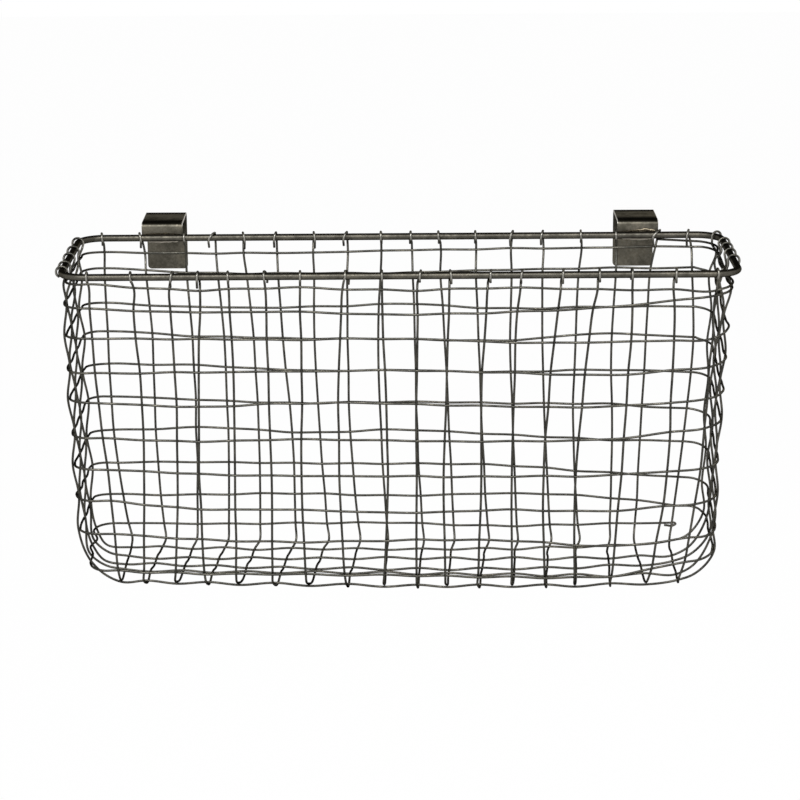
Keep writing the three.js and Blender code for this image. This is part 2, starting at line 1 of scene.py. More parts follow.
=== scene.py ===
# Looks of the hanging storage basket: wire woven over and under on a heavy rod rim, with two flat strip
# hooks brazed to the back of the rim.
# Metres, in the part's frame: +X along the basket to the right, +Y at what it hangs on, +Z up.

import math

import bpy
import numpy as np
from mathutils import Matrix, Vector, noise


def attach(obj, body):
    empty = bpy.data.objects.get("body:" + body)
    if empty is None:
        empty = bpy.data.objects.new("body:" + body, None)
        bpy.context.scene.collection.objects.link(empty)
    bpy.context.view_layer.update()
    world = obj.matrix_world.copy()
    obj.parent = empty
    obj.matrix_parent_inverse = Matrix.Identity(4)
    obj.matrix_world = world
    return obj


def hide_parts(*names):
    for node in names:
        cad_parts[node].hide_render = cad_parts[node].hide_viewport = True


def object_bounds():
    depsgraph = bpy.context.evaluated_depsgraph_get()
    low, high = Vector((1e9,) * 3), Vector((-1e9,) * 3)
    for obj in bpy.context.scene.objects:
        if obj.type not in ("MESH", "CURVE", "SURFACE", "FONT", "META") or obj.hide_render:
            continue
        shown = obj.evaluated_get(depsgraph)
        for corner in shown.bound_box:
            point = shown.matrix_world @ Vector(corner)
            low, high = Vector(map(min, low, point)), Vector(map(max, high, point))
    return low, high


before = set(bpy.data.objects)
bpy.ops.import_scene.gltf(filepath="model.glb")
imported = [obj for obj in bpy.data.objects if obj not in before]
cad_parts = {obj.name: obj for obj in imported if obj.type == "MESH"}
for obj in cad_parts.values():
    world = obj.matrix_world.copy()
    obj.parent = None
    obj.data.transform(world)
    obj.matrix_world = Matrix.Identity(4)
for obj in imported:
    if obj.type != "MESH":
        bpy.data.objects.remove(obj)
cad_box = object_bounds()

BODY = "root"

# Rim: a rod bent into a rounded rectangle, measured outside
RIM_LENGTH = 0.450
RIM_DEPTH = 0.130
ROD_DIAMETER = 0.0048
RIM_CORNER_RADIUS = 0.017

# Wire mesh: its long walls start just outside the rod's centre line and its end walls inside the rod, and
# they lean in on the way down
WIRE_DIAMETER = 0.0016
BASKET_HEIGHT = 0.2195
WALL_STANDOFF = 0.003
END_WALL_INSET = 0.0036
FRONT_LEAN = 0.007
BACK_LEAN = 0.025
LEFT_LEAN = 0.0035
RIGHT_FRONT_LEAN = 0.008
RIGHT_BACK_LEAN = 0.0032
TOP_CORNER_RADIUS = 0.0155
WALL_CORNER_RADIUS = 0.013
FRONT_BOTTOM_RADIUS = 0.014
BACK_BOTTOM_RADIUS = 0.014
END_BOTTOM_RADIUS = 0.029

# How far the hand-woven crossings wander over the walls, the length over which that changes, and the seed
# that makes it the same each time
WANDER = 0.0005
WANDER_LENGTH = 0.019
WANDER_SEED = 3
noise.seed_set(WANDER_SEED)

# How far the top hoop is crimped up and down along the front by the wires that it crosses
TOP_HOOP_CRIMP = 0.0006

# Wire ends: wrapped over the rod
CROSS_WRAP_GAP = 0.0002
END_LOOP_GAP = 0.0006
CUT_BEVEL = 0.0003

# How far each turn of the hoops' spiral runs on beyond the last cross wire at the back, and how far it
# goes into the turn that follows
TURN_LAP = 0.002
TURN_JOINT = 0.0005

# How far the top turn's end runs on past the last cross wire, and how far the bottom turn's end is bent
# back beneath itself
TOP_END_LENGTH = 0.022
BOTTOM_END_LENGTH = 0.007
BOTTOM_END_DROP = 0.0017

# Hooks: flat strip bent to a U that is open downwards
HOOK_INSET = 0.059
HOOK_WIDTH = 0.0285
HOOK_THICKNESS = 0.0015
HOOK_GAP = 0.037
HOOK_BEND_RADIUS = 0.0015
HOOK_RISE = 0.010
HOOK_FLANGE_DROP = 0.0032
HOOK_LEG_LENGTH = 0.041
HOOK_LEG_CORNER = 0.0028
HOOK_EDGE_BEVEL = 0.00022
HOOK_WAVE = 0.00012

# Braze: beads that fill the grooves between the rod and a hook's front flange
BEAD_LENGTH = 0.024
BEAD_WIDTH = 0.0017
UPPER_BEAD_HEIGHT = 0.0003
LOWER_BEAD_HEIGHT = 0.0015
BEAD_WOBBLE = 0.0005
RIGHT_BEAD_RISE = 0.0026

# Gap to the rod of what stands for the brazed joint
SEAT_GAP = 0.0003

# Stations down a wall, from the rim to the bottom, over BASKET_HEIGHT
DEPTH_STATION_SHARES = [0, 0.04, 0.1, 0.33, 0.66, 1]

# How much of its lean each wall has taken up at those stations, and how much of the change from the
# top corner radius to the wall corner radius has been made. The left wall bulges out before it leans in.
FRONT_LEAN_SHARES = [0, 0.14, 0.33, 0.73, 0.93, 1]
BACK_LEAN_SHARES = [0, 0.1, 0.25, 0.56, 0.7, 1]
LEFT_LEAN_SHARES = [0, -0.4, -0.57, -0.46, 0.17, 1]
RIGHT_LEAN_SHARES = [0, 0.1, 0.19, 0.5, 0.9, 1]
CORNER_CHANGE_SHARES = [0, 0.4, 0.7, 1, 1, 1]

# Stations along a long wall, from left to right, over the length of the rim's centre line
LENGTH_STATION_SHARES = [0.04, 0.195, 0.35, 0.505, 0.66, 0.815, 0.97]

# Depth of the bottom below the rim at those stations, over BASKET_HEIGHT
BOTTOM_DEPTH_SHARES = [0.977, 0.987, 0.993, 0.998, 1.001, 0.999, 0.985]

# Where each cross wire runs, from left to right, over the length of the rim's centre line: down the
# front wall and down the back wall, each at the stations down a wall. Each end is cut off inside or
# outside the rod. The cut end stands to the right of its own wire and hangs below the rod's centre by
# shares of the rod's diameter.
INSIDE = 1
OUTSIDE = -1
CROSS_WIRE_SHARES = [
    {"front": [0.041, 0.045, 0.044, 0.049, 0.063, 0.073],
     "back": [0.033, 0.036, 0.036, 0.04, 0.046, 0.071],
     "front_cut_shares": (INSIDE, 0, 0.9), "back_cut_shares": (OUTSIDE, 0.1, 1.2)},
    {"front": [0.105, 0.111, 0.108, 0.115, 0.115, 0.108],
     "back": [0.092, 0.099, 0.101, 0.11, 0.112, 0.124],
     "front_cut_shares": (INSIDE, 0, 0.9), "back_cut_shares": (INSIDE, 0.23, 1.3)},
    {"front": [0.167, 0.162, 0.163, 0.166, 0.165, 0.156],
     "back": [0.162, 0.164, 0.165, 0.173, 0.176, 0.174],
     "front_cut_shares": (OUTSIDE, -0.25, 1.25), "back_cut_shares": (OUTSIDE, 0, 1.2)},
    {"front": [0.204, 0.208, 0.206, 0.201, 0.198, 0.202],
     "back": [0.21, 0.211, 0.213, 0.223, 0.226, 0.224],
     "front_cut_shares": (OUTSIDE, -0.08, 1.4), "back_cut_shares": (INSIDE, -0.8, 1.3)},
    {"front": [0.248, 0.249, 0.25, 0.253, 0.251, 0.249],
     "back": [0.254, 0.254, 0.258, 0.269, 0.275, 0.274],
     "front_cut_shares": (INSIDE, 0, 0.9), "back_cut_shares": (INSIDE, 0.25, 1.55)},
    {"front": [0.301, 0.303, 0.303, 0.304, 0.306, 0.304],
     "back": [0.306, 0.307, 0.308, 0.315, 0.328, 0.332],
     "front_cut_shares": (INSIDE, 0.4, 1), "back_cut_shares": (INSIDE, -0.25, 1.35)},
    {"front": [0.354, 0.354, 0.353, 0.354, 0.351, 0.356],
     "back": [0.365, 0.364, 0.365, 0.365, 0.372, 0.384],
     "front_cut_shares": (OUTSIDE, 0, 1), "back_cut_shares": (INSIDE, 0.16, 1.5)},
    {"front": [0.42, 0.416, 0.414, 0.408, 0.408, 0.415],
     "back": [0.417, 0.418, 0.417, 0.417, 0.42, 0.434],
     "front_cut_shares": (INSIDE, 0.45, 1.3), "back_cut_shares": (INSIDE, -0.46, 1.15)},
    {"front": [0.474, 0.474, 0.474, 0.478, 0.48, 0.473],
     "back": [0.47, 0.471, 0.47, 0.465, 0.469, 0.478],
     "front_cut_shares": (OUTSIDE, 0, 1.4), "back_cut_shares": (OUTSIDE, 0.1, 1.2)},
    {"front": [0.531, 0.526, 0.526, 0.524, 0.523, 0.523],
     "back": [0.517, 0.519, 0.519, 0.523, 0.526, 0.535],
     "front_cut_shares": (OUTSIDE, -0.15, 0.75), "back_cut_shares": (OUTSIDE, -0.1, 1.2)},
    {"front": [0.574, 0.573, 0.572, 0.569, 0.564, 0.567],
     "back": [0.56, 0.564, 0.563, 0.57, 0.577, 0.584],
     "front_cut_shares": (OUTSIDE, 0.14, 1), "back_cut_shares": (OUTSIDE, 0.1, 1.2)},
    {"front": [0.634, 0.629, 0.627, 0.621, 0.62, 0.615],
     "back": [0.618, 0.62, 0.619, 0.623, 0.629, 0.639],
     "front_cut_shares": (OUTSIDE, -0.1, 0.87), "back_cut_shares": (OUTSIDE, 0, 1.2)},
    {"front": [0.68, 0.677, 0.673, 0.669, 0.666, 0.667],
     "back": [0.677, 0.674, 0.675, 0.673, 0.678, 0.685],
     "front_cut_shares": (OUTSIDE, -0.2, 1), "back_cut_shares": (INSIDE, -0.4, 1.35)},
    {"front": [0.74, 0.736, 0.733, 0.722, 0.713, 0.717],
     "back": [0.724, 0.725, 0.723, 0.723, 0.729, 0.738],
     "front_cut_shares": (OUTSIDE, -0.1, 1.05), "back_cut_shares": (INSIDE, -0.3, 1.2)},
    {"front": [0.793, 0.79, 0.784, 0.773, 0.761, 0.762],
     "back": [0.783, 0.785, 0.781, 0.775, 0.773, 0.783],
     "front_cut_shares": (OUTSIDE, 0, 0.87), "back_cut_shares": (OUTSIDE, 0.1, 1.2)},
    {"front": [0.841, 0.841, 0.842, 0.837, 0.829, 0.816],
     "back": [0.838, 0.839, 0.838, 0.832, 0.834, 0.831],
     "front_cut_shares": (INSIDE, -0.1, 0.85), "back_cut_shares": (OUTSIDE, 0.1, 1.2)},
    {"front": [0.906, 0.902, 0.904, 0.903, 0.897, 0.872],
     "back": [0.905, 0.9, 0.893, 0.886, 0.879, 0.87],
     "front_cut_shares": (OUTSIDE, -0.1, 1.05), "back_cut_shares": (INSIDE, -1, 1.3)},
    {"front": [0.966, 0.964, 0.963, 0.957, 0.945, 0.92],
     "back": [0.952, 0.957, 0.957, 0.96, 0.947, 0.926],
     "front_cut_shares": (INSIDE, 0, 0.9), "back_cut_shares": (INSIDE, -0.3, 1.45)},
]

# How far below the rim each hoop runs, from the top one down, over BASKET_HEIGHT: along the front wall
# and along the back wall, at the stations along a long wall
HOOP_DEPTH_SHARES = [
    {"front": [0.019, 0.038, 0.032, 0.042, 0.037, 0.043, 0.047],
     "back": [0.046, 0.051, 0.050, 0.045, 0.042, 0.040, 0.038]},
    {"front": [0.093, 0.108, 0.107, 0.119, 0.112, 0.097, 0.062],
     "back": [0.094, 0.112, 0.114, 0.114, 0.107, 0.103, 0.104]},
    {"front": [0.187, 0.191, 0.194, 0.193, 0.207, 0.208, 0.198],
     "back": [0.203, 0.219, 0.22, 0.212, 0.228, 0.225, 0.225]},
    {"front": [0.297, 0.295, 0.294, 0.293, 0.302, 0.311, 0.285],
     "back": [0.292, 0.311, 0.32, 0.323, 0.33, 0.31, 0.325]},
    {"front": [0.387, 0.404, 0.394, 0.399, 0.408, 0.41, 0.386],
     "back": [0.399, 0.406, 0.424, 0.424, 0.432, 0.427, 0.436]},
    {"front": [0.5, 0.513, 0.508, 0.515, 0.518, 0.513, 0.474],
     "back": [0.504, 0.519, 0.53, 0.528, 0.535, 0.539, 0.558]},
    {"front": [0.597, 0.617, 0.624, 0.628, 0.63, 0.628, 0.606],
     "back": [0.617, 0.609, 0.627, 0.62, 0.638, 0.656, 0.665]},
    {"front": [0.696, 0.729, 0.732, 0.744, 0.737, 0.742, 0.713],
     "back": [0.723, 0.723, 0.729, 0.731, 0.738, 0.763, 0.784]},
    {"front": [0.802, 0.825, 0.837, 0.832, 0.835, 0.855, 0.821],
     "back": [0.826, 0.829, 0.827, 0.837, 0.831, 0.843, 0.882]},
    {"front": [0.925, 0.937, 0.942, 0.947, 0.955, 0.953, 0.886],
     "back": [0.92, 0.925, 0.924, 0.926, 0.937, 0.932, 0.93]},
]

# How far below the rim the spiral of hoops ends, over BASKET_HEIGHT: on the back wall, above the top
# hoop, and at the right end of that wall
SPIRAL_TOP_SHARE = 0.008
SPIRAL_RISE_SHARE = 0.023

# Where each lengthwise wire runs, from the back one forwards, over the depth of the rim's centre line:
# down the left and right end walls at the stations down a wall, and along the bottom at its left end,
# its middle and its right end. Its bend at the foot of the left wall is a share of END_BOTTOM_RADIUS.
LENGTHWISE_SHARES = [
    {"left": [0.855, 0.82, 0.79, 0.79, 0.76, 0.72],
     "left_bend_share": 0.45, "middle": 0.74,
     "right": [0.943, 0.93, 0.92, 0.865, 0.835, 0.77]},
    {"left": [0.647, 0.61, 0.58, 0.57, 0.55, 0.53],
     "left_bend_share": 0.85, "middle": 0.59,
     "right": [0.759, 0.76, 0.75, 0.72, 0.65, 0.58]},
    {"left": [0.455, 0.45, 0.45, 0.445, 0.44, 0.43],
     "left_bend_share": 0.65, "middle": 0.405,
     "right": [0.639, 0.64, 0.63, 0.59, 0.51, 0.455]},
    {"left": [0.264, 0.267, 0.27, 0.285, 0.3, 0.31],
     "left_bend_share": 0.9, "middle": 0.335,
     "right": [0.479, 0.475, 0.46, 0.4, 0.32, 0.255]},
    {"left": [0.128, 0.12, 0.115, 0.125, 0.135, 0.136],
     "left_bend_share": 1, "middle": 0.105,
     "right": [0.327, 0.3, 0.275, 0.23, 0.17, 0.112]},
]

# Fineness: sides of a round section, lengths between rings, and turns
ROD_SIDES = 28
WIRE_SIDES = 12
WIRE_STEP = 0.0022
LEAST_STEPS = 4
CORNER_STEPS = 18
WRAP_TURN = math.radians(30)
MESH_TURN = math.radians(24)

# Where wire ends meet the rod and leave it, as angles round it from where they come up, over its top. A
# wire that comes up inside a long side of the rod has first passed below it.
OUTER_WRAP_START = math.radians(-25)
INNER_WRAP_START = math.radians(-55)
WRAP_END = math.pi
LOOP_START = math.radians(-25)
LOOP_END = math.radians(240)

# Places that the pieces share
ROD_RADIUS = ROD_DIAMETER / 2
WIRE_RADIUS = WIRE_DIAMETER / 2
HALF_LENGTH = (RIM_LENGTH - ROD_DIAMETER) / 2
CENTRE_DEPTH = RIM_DEPTH - ROD_DIAMETER
WEAVE_OFFSET = WIRE_RADIUS
CROSS_WRAP_RADIUS = ROD_RADIUS + WIRE_RADIUS + CROSS_WRAP_GAP
END_LOOP_RADIUS = ROD_RADIUS + WIRE_RADIUS + END_LOOP_GAP
RIM_BACK = -HOOK_GAP / 2 - HOOK_THICKNESS - SEAT_GAP - ROD_RADIUS
RIM_FRONT = RIM_BACK - CENTRE_DEPTH
RIM_HEIGHT = HOOK_THICKNESS - HOOK_RISE
HOOK_MIDDLES = {"left": HOOK_INSET - RIM_LENGTH / 2, "right": RIM_LENGTH / 2 - HOOK_INSET}
UP = Vector((0, 0, 1))


# Walls of the mesh
def mix(low, high, share):
    return low + (high - low) * share


def smoothly(values, stations, place):
    """A smooth curve through values at stations, read at a place between the first and the last."""
    last = len(values) - 1
    inside = min(max(place, stations[0]), stations[last])
    index = min(max(i for i, station in enumerate(stations) if station <= inside), last - 1)

    def slope_at(middle):
        before = max(middle - 1, 0)
        after = min(middle + 1, last)
        return (values[after] - values[before]) / (stations[after] - stations[before])

    width = stations[index + 1] - stations[index]
    share = (inside - stations[index]) / width
    start, end = values[index], values[index + 1]
    first = start + slope_at(index) * width / 3
    second = end - slope_at(index + 1) * width / 3
    rest = 1 - share
    return rest**3 * start + 3 * rest**2 * share * first + 3 * rest * share**2 * second + share**3 * end


def down_wall(values, depth_share):
    return smoothly(values, DEPTH_STATION_SHARES, depth_share)


def along_wall(values, length_share):
    return smoothly(values, LENGTH_STATION_SHARES, length_share)


def long_wall(side, depth_share):
    if side < 0:
        return RIM_FRONT - WALL_STANDOFF + FRONT_LEAN * down_wall(FRONT_LEAN_SHARES, depth_share)
    return RIM_BACK + WALL_STANDOFF - BACK_LEAN * down_wall(BACK_LEAN_SHARES, depth_share)


def end_wall(side, depth_share, y):
    if side < 0:
        return END_WALL_INSET + LEFT_LEAN * down_wall(LEFT_LEAN_SHARES, depth_share) - HALF_LENGTH
    lean = mix(RIGHT_FRONT_LEAN, RIGHT_BACK_LEAN, (y - RIM_FRONT) / CENTRE_DEPTH)
    return HALF_LENGTH - END_WALL_INSET - lean * down_wall(RIGHT_LEAN_SHARES, depth_share)


def corner_radius(depth_share):
    return mix(TOP_CORNER_RADIUS, WALL_CORNER_RADIUS, down_wall(CORNER_CHANGE_SHARES, depth_share))


def corner_arc(distance, radius):
    """How far a round corner has set a surface in, and its turn, at a distance from the next wall."""
    sine = min(max((radius - distance) / radius, 0), 1)
    return radius * (1 - math.sqrt(1 - sine * sine)), math.asin(sine)


def wall_name(side):
    return "front" if side < 0 else "back"


def end_name(side):
    return "left" if side < 0 else "right"


def x_at(length_share):
    return (2 * length_share - 1) * HALF_LENGTH


def side_of(x):
    return -1 if x < 0 else 1


def bottom_depth(length_share):
    return BASKET_HEIGHT * along_wall(BOTTOM_DEPTH_SHARES, length_share)


def end_station(side):
    return LENGTH_STATION_SHARES[0] if side < 0 else LENGTH_STATION_SHARES[-1]


def side_bottom_radius(side):
    return FRONT_BOTTOM_RADIUS if side < 0 else BACK_BOTTOM_RADIUS


def height_at(depth_share):
    return RIM_HEIGHT - BASKET_HEIGHT * depth_share


def above_bottom(length_share, depth_share):
    return bottom_depth(length_share) - BASKET_HEIGHT * depth_share


def wandered(point):
    """The same place on the mesh, moved a little as a hand-woven crossing is."""
    return point + noise.noise_vector(point / WANDER_LENGTH) * WANDER


def tipped(x, y, foot_turn):
    """A level direction, tipped down by the turn at the foot of a wall."""
    level = math.cos(foot_turn)
    return Vector((x * level, y * level, -math.sin(foot_turn)))


def on_long_wall(side, length_share, depth_share):
    """A place on the middle of the mesh, the direction out of the basket there, and the plan turn."""
    x = x_at(length_share)
    end = side_of(x)
    wall = long_wall(side, depth_share)
    to_end = end * (end_wall(end, depth_share, wall) - x)
    plan_inset, plan_turn = corner_arc(to_end, corner_radius(depth_share))
    foot_inset, foot_turn = corner_arc(above_bottom(length_share, depth_share), side_bottom_radius(side))
    point = Vector((x, wall - side * (plan_inset + foot_inset), height_at(depth_share)))
    outward = tipped(end * math.sin(plan_turn), side * math.cos(plan_turn), foot_turn)
    return point, outward, plan_turn


def on_end_wall(side, y, depth_share, bend_radius):
    to_front = y - long_wall(-1, depth_share)
    to_back = long_wall(1, depth_share) - y
    edge = -1 if to_front < to_back else 1
    plan_inset, plan_turn = corner_arc(min(to_front, to_back), corner_radius(depth_share))
    foot_inset, foot_turn = corner_arc(above_bottom(end_station(side), depth_share), bend_radius)
    x = end_wall(side, depth_share, y) - side * (plan_inset + foot_inset)
    outward = tipped(side * math.cos(plan_turn), edge * math.sin(plan_turn), foot_turn)
    return Vector((x, y, height_at(depth_share))), outward, plan_turn


def on_bottom(length_share, y):
    x = x_at(length_share)
    end = side_of(x)
    front_inset, front_turn = corner_arc(y - long_wall(-1, 1), FRONT_BOTTOM_RADIUS)
    back_inset, back_turn = corner_arc(long_wall(1, 1) - y, BACK_BOTTOM_RADIUS)
    end_inset, end_turn = corner_arc(end * (end_wall(end, 1, y) - x), END_BOTTOM_RADIUS)
    z = RIM_HEIGHT - bottom_depth(length_share) + front_inset + back_inset + end_inset
    outward = Vector((end * math.sin(end_turn), math.sin(back_turn) - math.sin(front_turn), -1))
    return Vector((x, y, z)), outward.normalized(), 0


def on_upright_corner(end, side, depth_share, turn, bend_radius):
    wall = long_wall(side, depth_share)
    radius = corner_radius(depth_share)
    height = above_bottom(end_station(end), depth_share)
    end_foot = corner_arc(height, bend_radius)[0]
    side_foot = corner_arc(height, side_bottom_radius(side))[0]
    x = end_wall(end, depth_share, wall) - end * (radius * (1 - math.sin(turn)) + end_foot)
    y = wall - side * (radius * (1 - math.cos(turn)) + side_foot)
    return Vector((x, y, height_at(depth_share)))


def corner_depth_share(length_share, radius, turn):
    return (bottom_depth(length_share) - radius * (1 - math.sin(turn))) / BASKET_HEIGHT


# Where wires meet. Each meeting is found by letting the two wires' tables settle on each other.
SETTLE_ROUNDS = 5


def wall_meeting(side, cross, hoop):
    wall = wall_name(side)
    depth_share = hoop[wall][0]
    for _ in range(SETTLE_ROUNDS):
        length_share = down_wall(cross[wall], depth_share)
        depth_share = along_wall(hoop[wall], length_share)
    return on_long_wall(side, length_share, depth_share)


def lengthwise_y(depthwise_share):
    return RIM_FRONT + CENTRE_DEPTH * depthwise_share


def end_bend(side, lengthwise):
    return END_BOTTOM_RADIUS * (lengthwise["left_bend_share"] if side < 0 else 1)


# The hoops are the turns of one spiral: round the right end each rises to the level of the one above
SPIRAL_TOP = {"back": [SPIRAL_TOP_SHARE] * (len(LENGTH_STATION_SHARES) - 1) + [SPIRAL_RISE_SHARE]}


def turn_above(row):
    return HOOP_DEPTH_SHARES[row - 1] if row > 0 else SPIRAL_TOP


def end_meeting(side, lengthwise, row):
    run = lengthwise[end_name(side)]
    at_back = HOOP_DEPTH_SHARES[row] if side < 0 else turn_above(row)
    front_depth = along_wall(HOOP_DEPTH_SHARES[row]["front"], end_station(side))
    back_depth = along_wall(at_back["back"], end_station(side))
    y_share = run[0]
    for _ in range(SETTLE_ROUNDS):
        depth_share = mix(front_depth, back_depth, y_share)
        y_share = down_wall(run, depth_share)
    return on_end_wall(side, lengthwise_y(y_share), depth_share, end_bend(side, lengthwise))


def bottom_meeting(cross, lengthwise):
    y_shares = [lengthwise["left"][-1], lengthwise["middle"], lengthwise["right"][-1]]
    stations = [end_station(-1), (end_station(-1) + end_station(1)) / 2, end_station(1)]
    length_share = cross["front"][-1]
    for _ in range(SETTLE_ROUNDS):
        y_share = smoothly(y_shares, stations, length_share)
        length_share = mix(cross["front"][-1], cross["back"][-1], y_share)
    return on_bottom(length_share, lengthwise_y(y_share))


# Plain weave: wires take turns to pass outside, counted round the basket and down it
CROSS_COUNT = len(CROSS_WIRE_SHARES)
HOOP_COUNT = len(HOOP_DEPTH_SHARES)
LENGTHWISE_COUNT = len(LENGTHWISE_SHARES)


# On the end walls the hoops run nearly straight and the lengthwise wires go round them
END_HOOP_SWAY_SHARE = 0.35
END_WIRE_SWAY_SHARE = 2 - END_HOOP_SWAY_SHARE


def alternating(count):
    return 1 if count % 2 == 0 else -1


def woven(meeting, sign, sway_share=1):
    return wandered(meeting[0]) + meeting[1] * (sign * sway_share * WEAVE_OFFSET)


def ring_place(wall, index):
    """How many wires come before this one, counted round the basket from the left of the front wall."""
    if wall == "front":
        return index
    if wall == "right":
        return CROSS_COUNT + LENGTHWISE_COUNT - 1 - index
    if wall == "back":
        return 2 * CROSS_COUNT + LENGTHWISE_COUNT - 1 - index
    return 2 * CROSS_COUNT + LENGTHWISE_COUNT + index


def beside_hooks(length_share):
    """A cross wire whose end would land on a hook is bent to the nearer side of it."""
    reach = HOOK_WIDTH / 2 + WIRE_RADIUS + SEAT_GAP
    x = x_at(length_share)
    for middle in HOOK_MIDDLES.values():
        if abs(x - middle) < reach:
            return (1 + (middle + side_of(x - middle) * reach) / HALF_LENGTH) / 2
    return length_share


def rod_beside_cross(side, length_share):
    x = x_at(length_share)
    end = side_of(x)
    inset, turn = corner_arc(HALF_LENGTH - end * x, RIM_CORNER_RADIUS)
    y = (RIM_FRONT if side < 0 else RIM_BACK) - side * inset
    return Vector((x, y, RIM_HEIGHT)), Vector((end * math.sin(turn), side * math.cos(turn), 0))


def rod_beside_lengthwise(side, y_share):
    y = lengthwise_y(y_share)
    edge = side_of(y_share - 1 / 2)
    inset, turn = corner_arc(y - RIM_FRONT if edge < 0 else RIM_BACK - y, RIM_CORNER_RADIUS)
    outward = Vector((side * math.cos(turn), edge * math.sin(turn), 0))
    return Vector((side * (HALF_LENGTH - inset), y, RIM_HEIGHT)), outward


# Round wires and the rod: meshes round a path
def smooth_path(places):
    """Points along a curve through a wire's places, close enough to look round."""
    given = np.array([tuple(place) for place in places])
    lengths = [np.linalg.norm(span) for span in np.diff(given, axis=0)]
    directions = [span / length for span, length in zip(np.diff(given, axis=0), lengths)]
    tangents = [directions[0]]
    for came, goes, before, after in zip(directions, directions[1:], lengths, lengths[1:]):
        tangents.append((came * after + goes * before) / (before + after))
    tangents.append(directions[-1])
    path = []
    for index, length in enumerate(lengths):
        start, end = given[index], given[index + 1]
        out, into = tangents[index] * length, tangents[index + 1] * length
        steps = max(math.ceil(length / WIRE_STEP), LEAST_STEPS)
        for number in range(steps):
            t = number / steps
            path.append(
                (2 * t**3 - 3 * t**2 + 1) * start + (t**3 - 2 * t**2 + t) * out
                + (3 * t**2 - 2 * t**3) * end + (t**3 - t**2) * into
            )
    path.append(given[-1])
    return np.array(path)


def path_frames(path, is_ring):
    """Unit directions along a path, and two directions square to it that don't twist."""
    ahead = np.roll(path, -1, 0) - path
    behind = path - np.roll(path, 1, 0)
    if not is_ring:
        ahead[-1] = behind[-1]
        behind[0] = ahead[0]
    along = ahead / np.linalg.norm(ahead, axis=1, keepdims=True)
    along += behind / np.linalg.norm(behind, axis=1, keepdims=True)
    along /= np.linalg.norm(along, axis=1, keepdims=True)
    across = np.zeros_like(path)
    previous = np.array(Vector(along[0]).orthogonal().normalized())
    for index in range(len(path)):
        square = previous - along[index] * np.dot(previous, along[index])
        previous = square / np.linalg.norm(square)
        across[index] = previous
    if is_ring:
        closing = across[-1] - along[0] * np.dot(across[-1], along[0])
        closing /= np.linalg.norm(closing)
        twist = math.atan2(np.dot(np.cross(across[0], closing), along[0]), np.dot(across[0], closing))
        angles = -twist * np.arange(len(path))[:, None] / len(path)
        side = np.cross(along, across)
        across = across * np.cos(angles) + side * np.sin(angles)
    return along, across, np.cross(along, across)


def new_mesh(name, points, faces):
    mesh = bpy.data.meshes.new(name)
    mesh.from_pydata(points, [], faces)
    return mesh


def tube_faces(count, sides, is_ring):
    """Faces round a row of rings of points, with a cap at each end where the row is open."""
    faces = []
    for ring in range(count if is_ring else count - 1):
        near = ring * sides
        far = (ring + 1) % count * sides
        for corner in range(sides):
            following = (corner + 1) % sides
            faces.append((near + corner, near + following, far + following, far + corner))
    if not is_ring:
        faces.append(tuple(reversed(range(sides))))
        faces.append(tuple(range((count - 1) * sides, count * sides)))
    return faces


def bar_mesh(name, path, radius, sides, is_ring):
    """A round bar along a path as one closed mesh. The ends of an open one are cut square, with a
    small bevel."""
    along, across, over = path_frames(path, is_ring)
    centres, widths = path, np.full(len(path), radius)
    if not is_ring:
        bevel = min(CUT_BEVEL, radius / 2)
        centres = np.concatenate([path[:1] - along[:1] * bevel, path, path[-1:] + along[-1:] * bevel])
        widths = np.concatenate([[radius - bevel], widths, [radius - bevel]])
        across = np.concatenate([across[:1], across, across[-1:]])
        over = np.concatenate([over[:1], over, over[-1:]])
    angles = (2 * np.pi * np.arange(sides) / sides)[None, :, None]
    circle = np.cos(angles) * across[:, None, :] + np.sin(angles) * over[:, None, :]
    points = (centres[:, None, :] + widths[:, None, None] * circle).reshape(-1, 3)
    mesh = new_mesh(name, points.tolist(), tube_faces(len(centres), sides, is_ring))
    mesh.shade_smooth()
    return mesh


def new_object(name, data):
    made = bpy.data.objects.new(name, data)
    bpy.context.scene.collection.objects.link(made)
    return made


def add_piece(name, mesh, node, material):
    piece = new_object(name, mesh)
    mesh.materials.append(material)
    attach(piece, BODY)
    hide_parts(node)
    return piece


# Materials
def colour(red, green, blue):
    return (red, green, blue, 1)


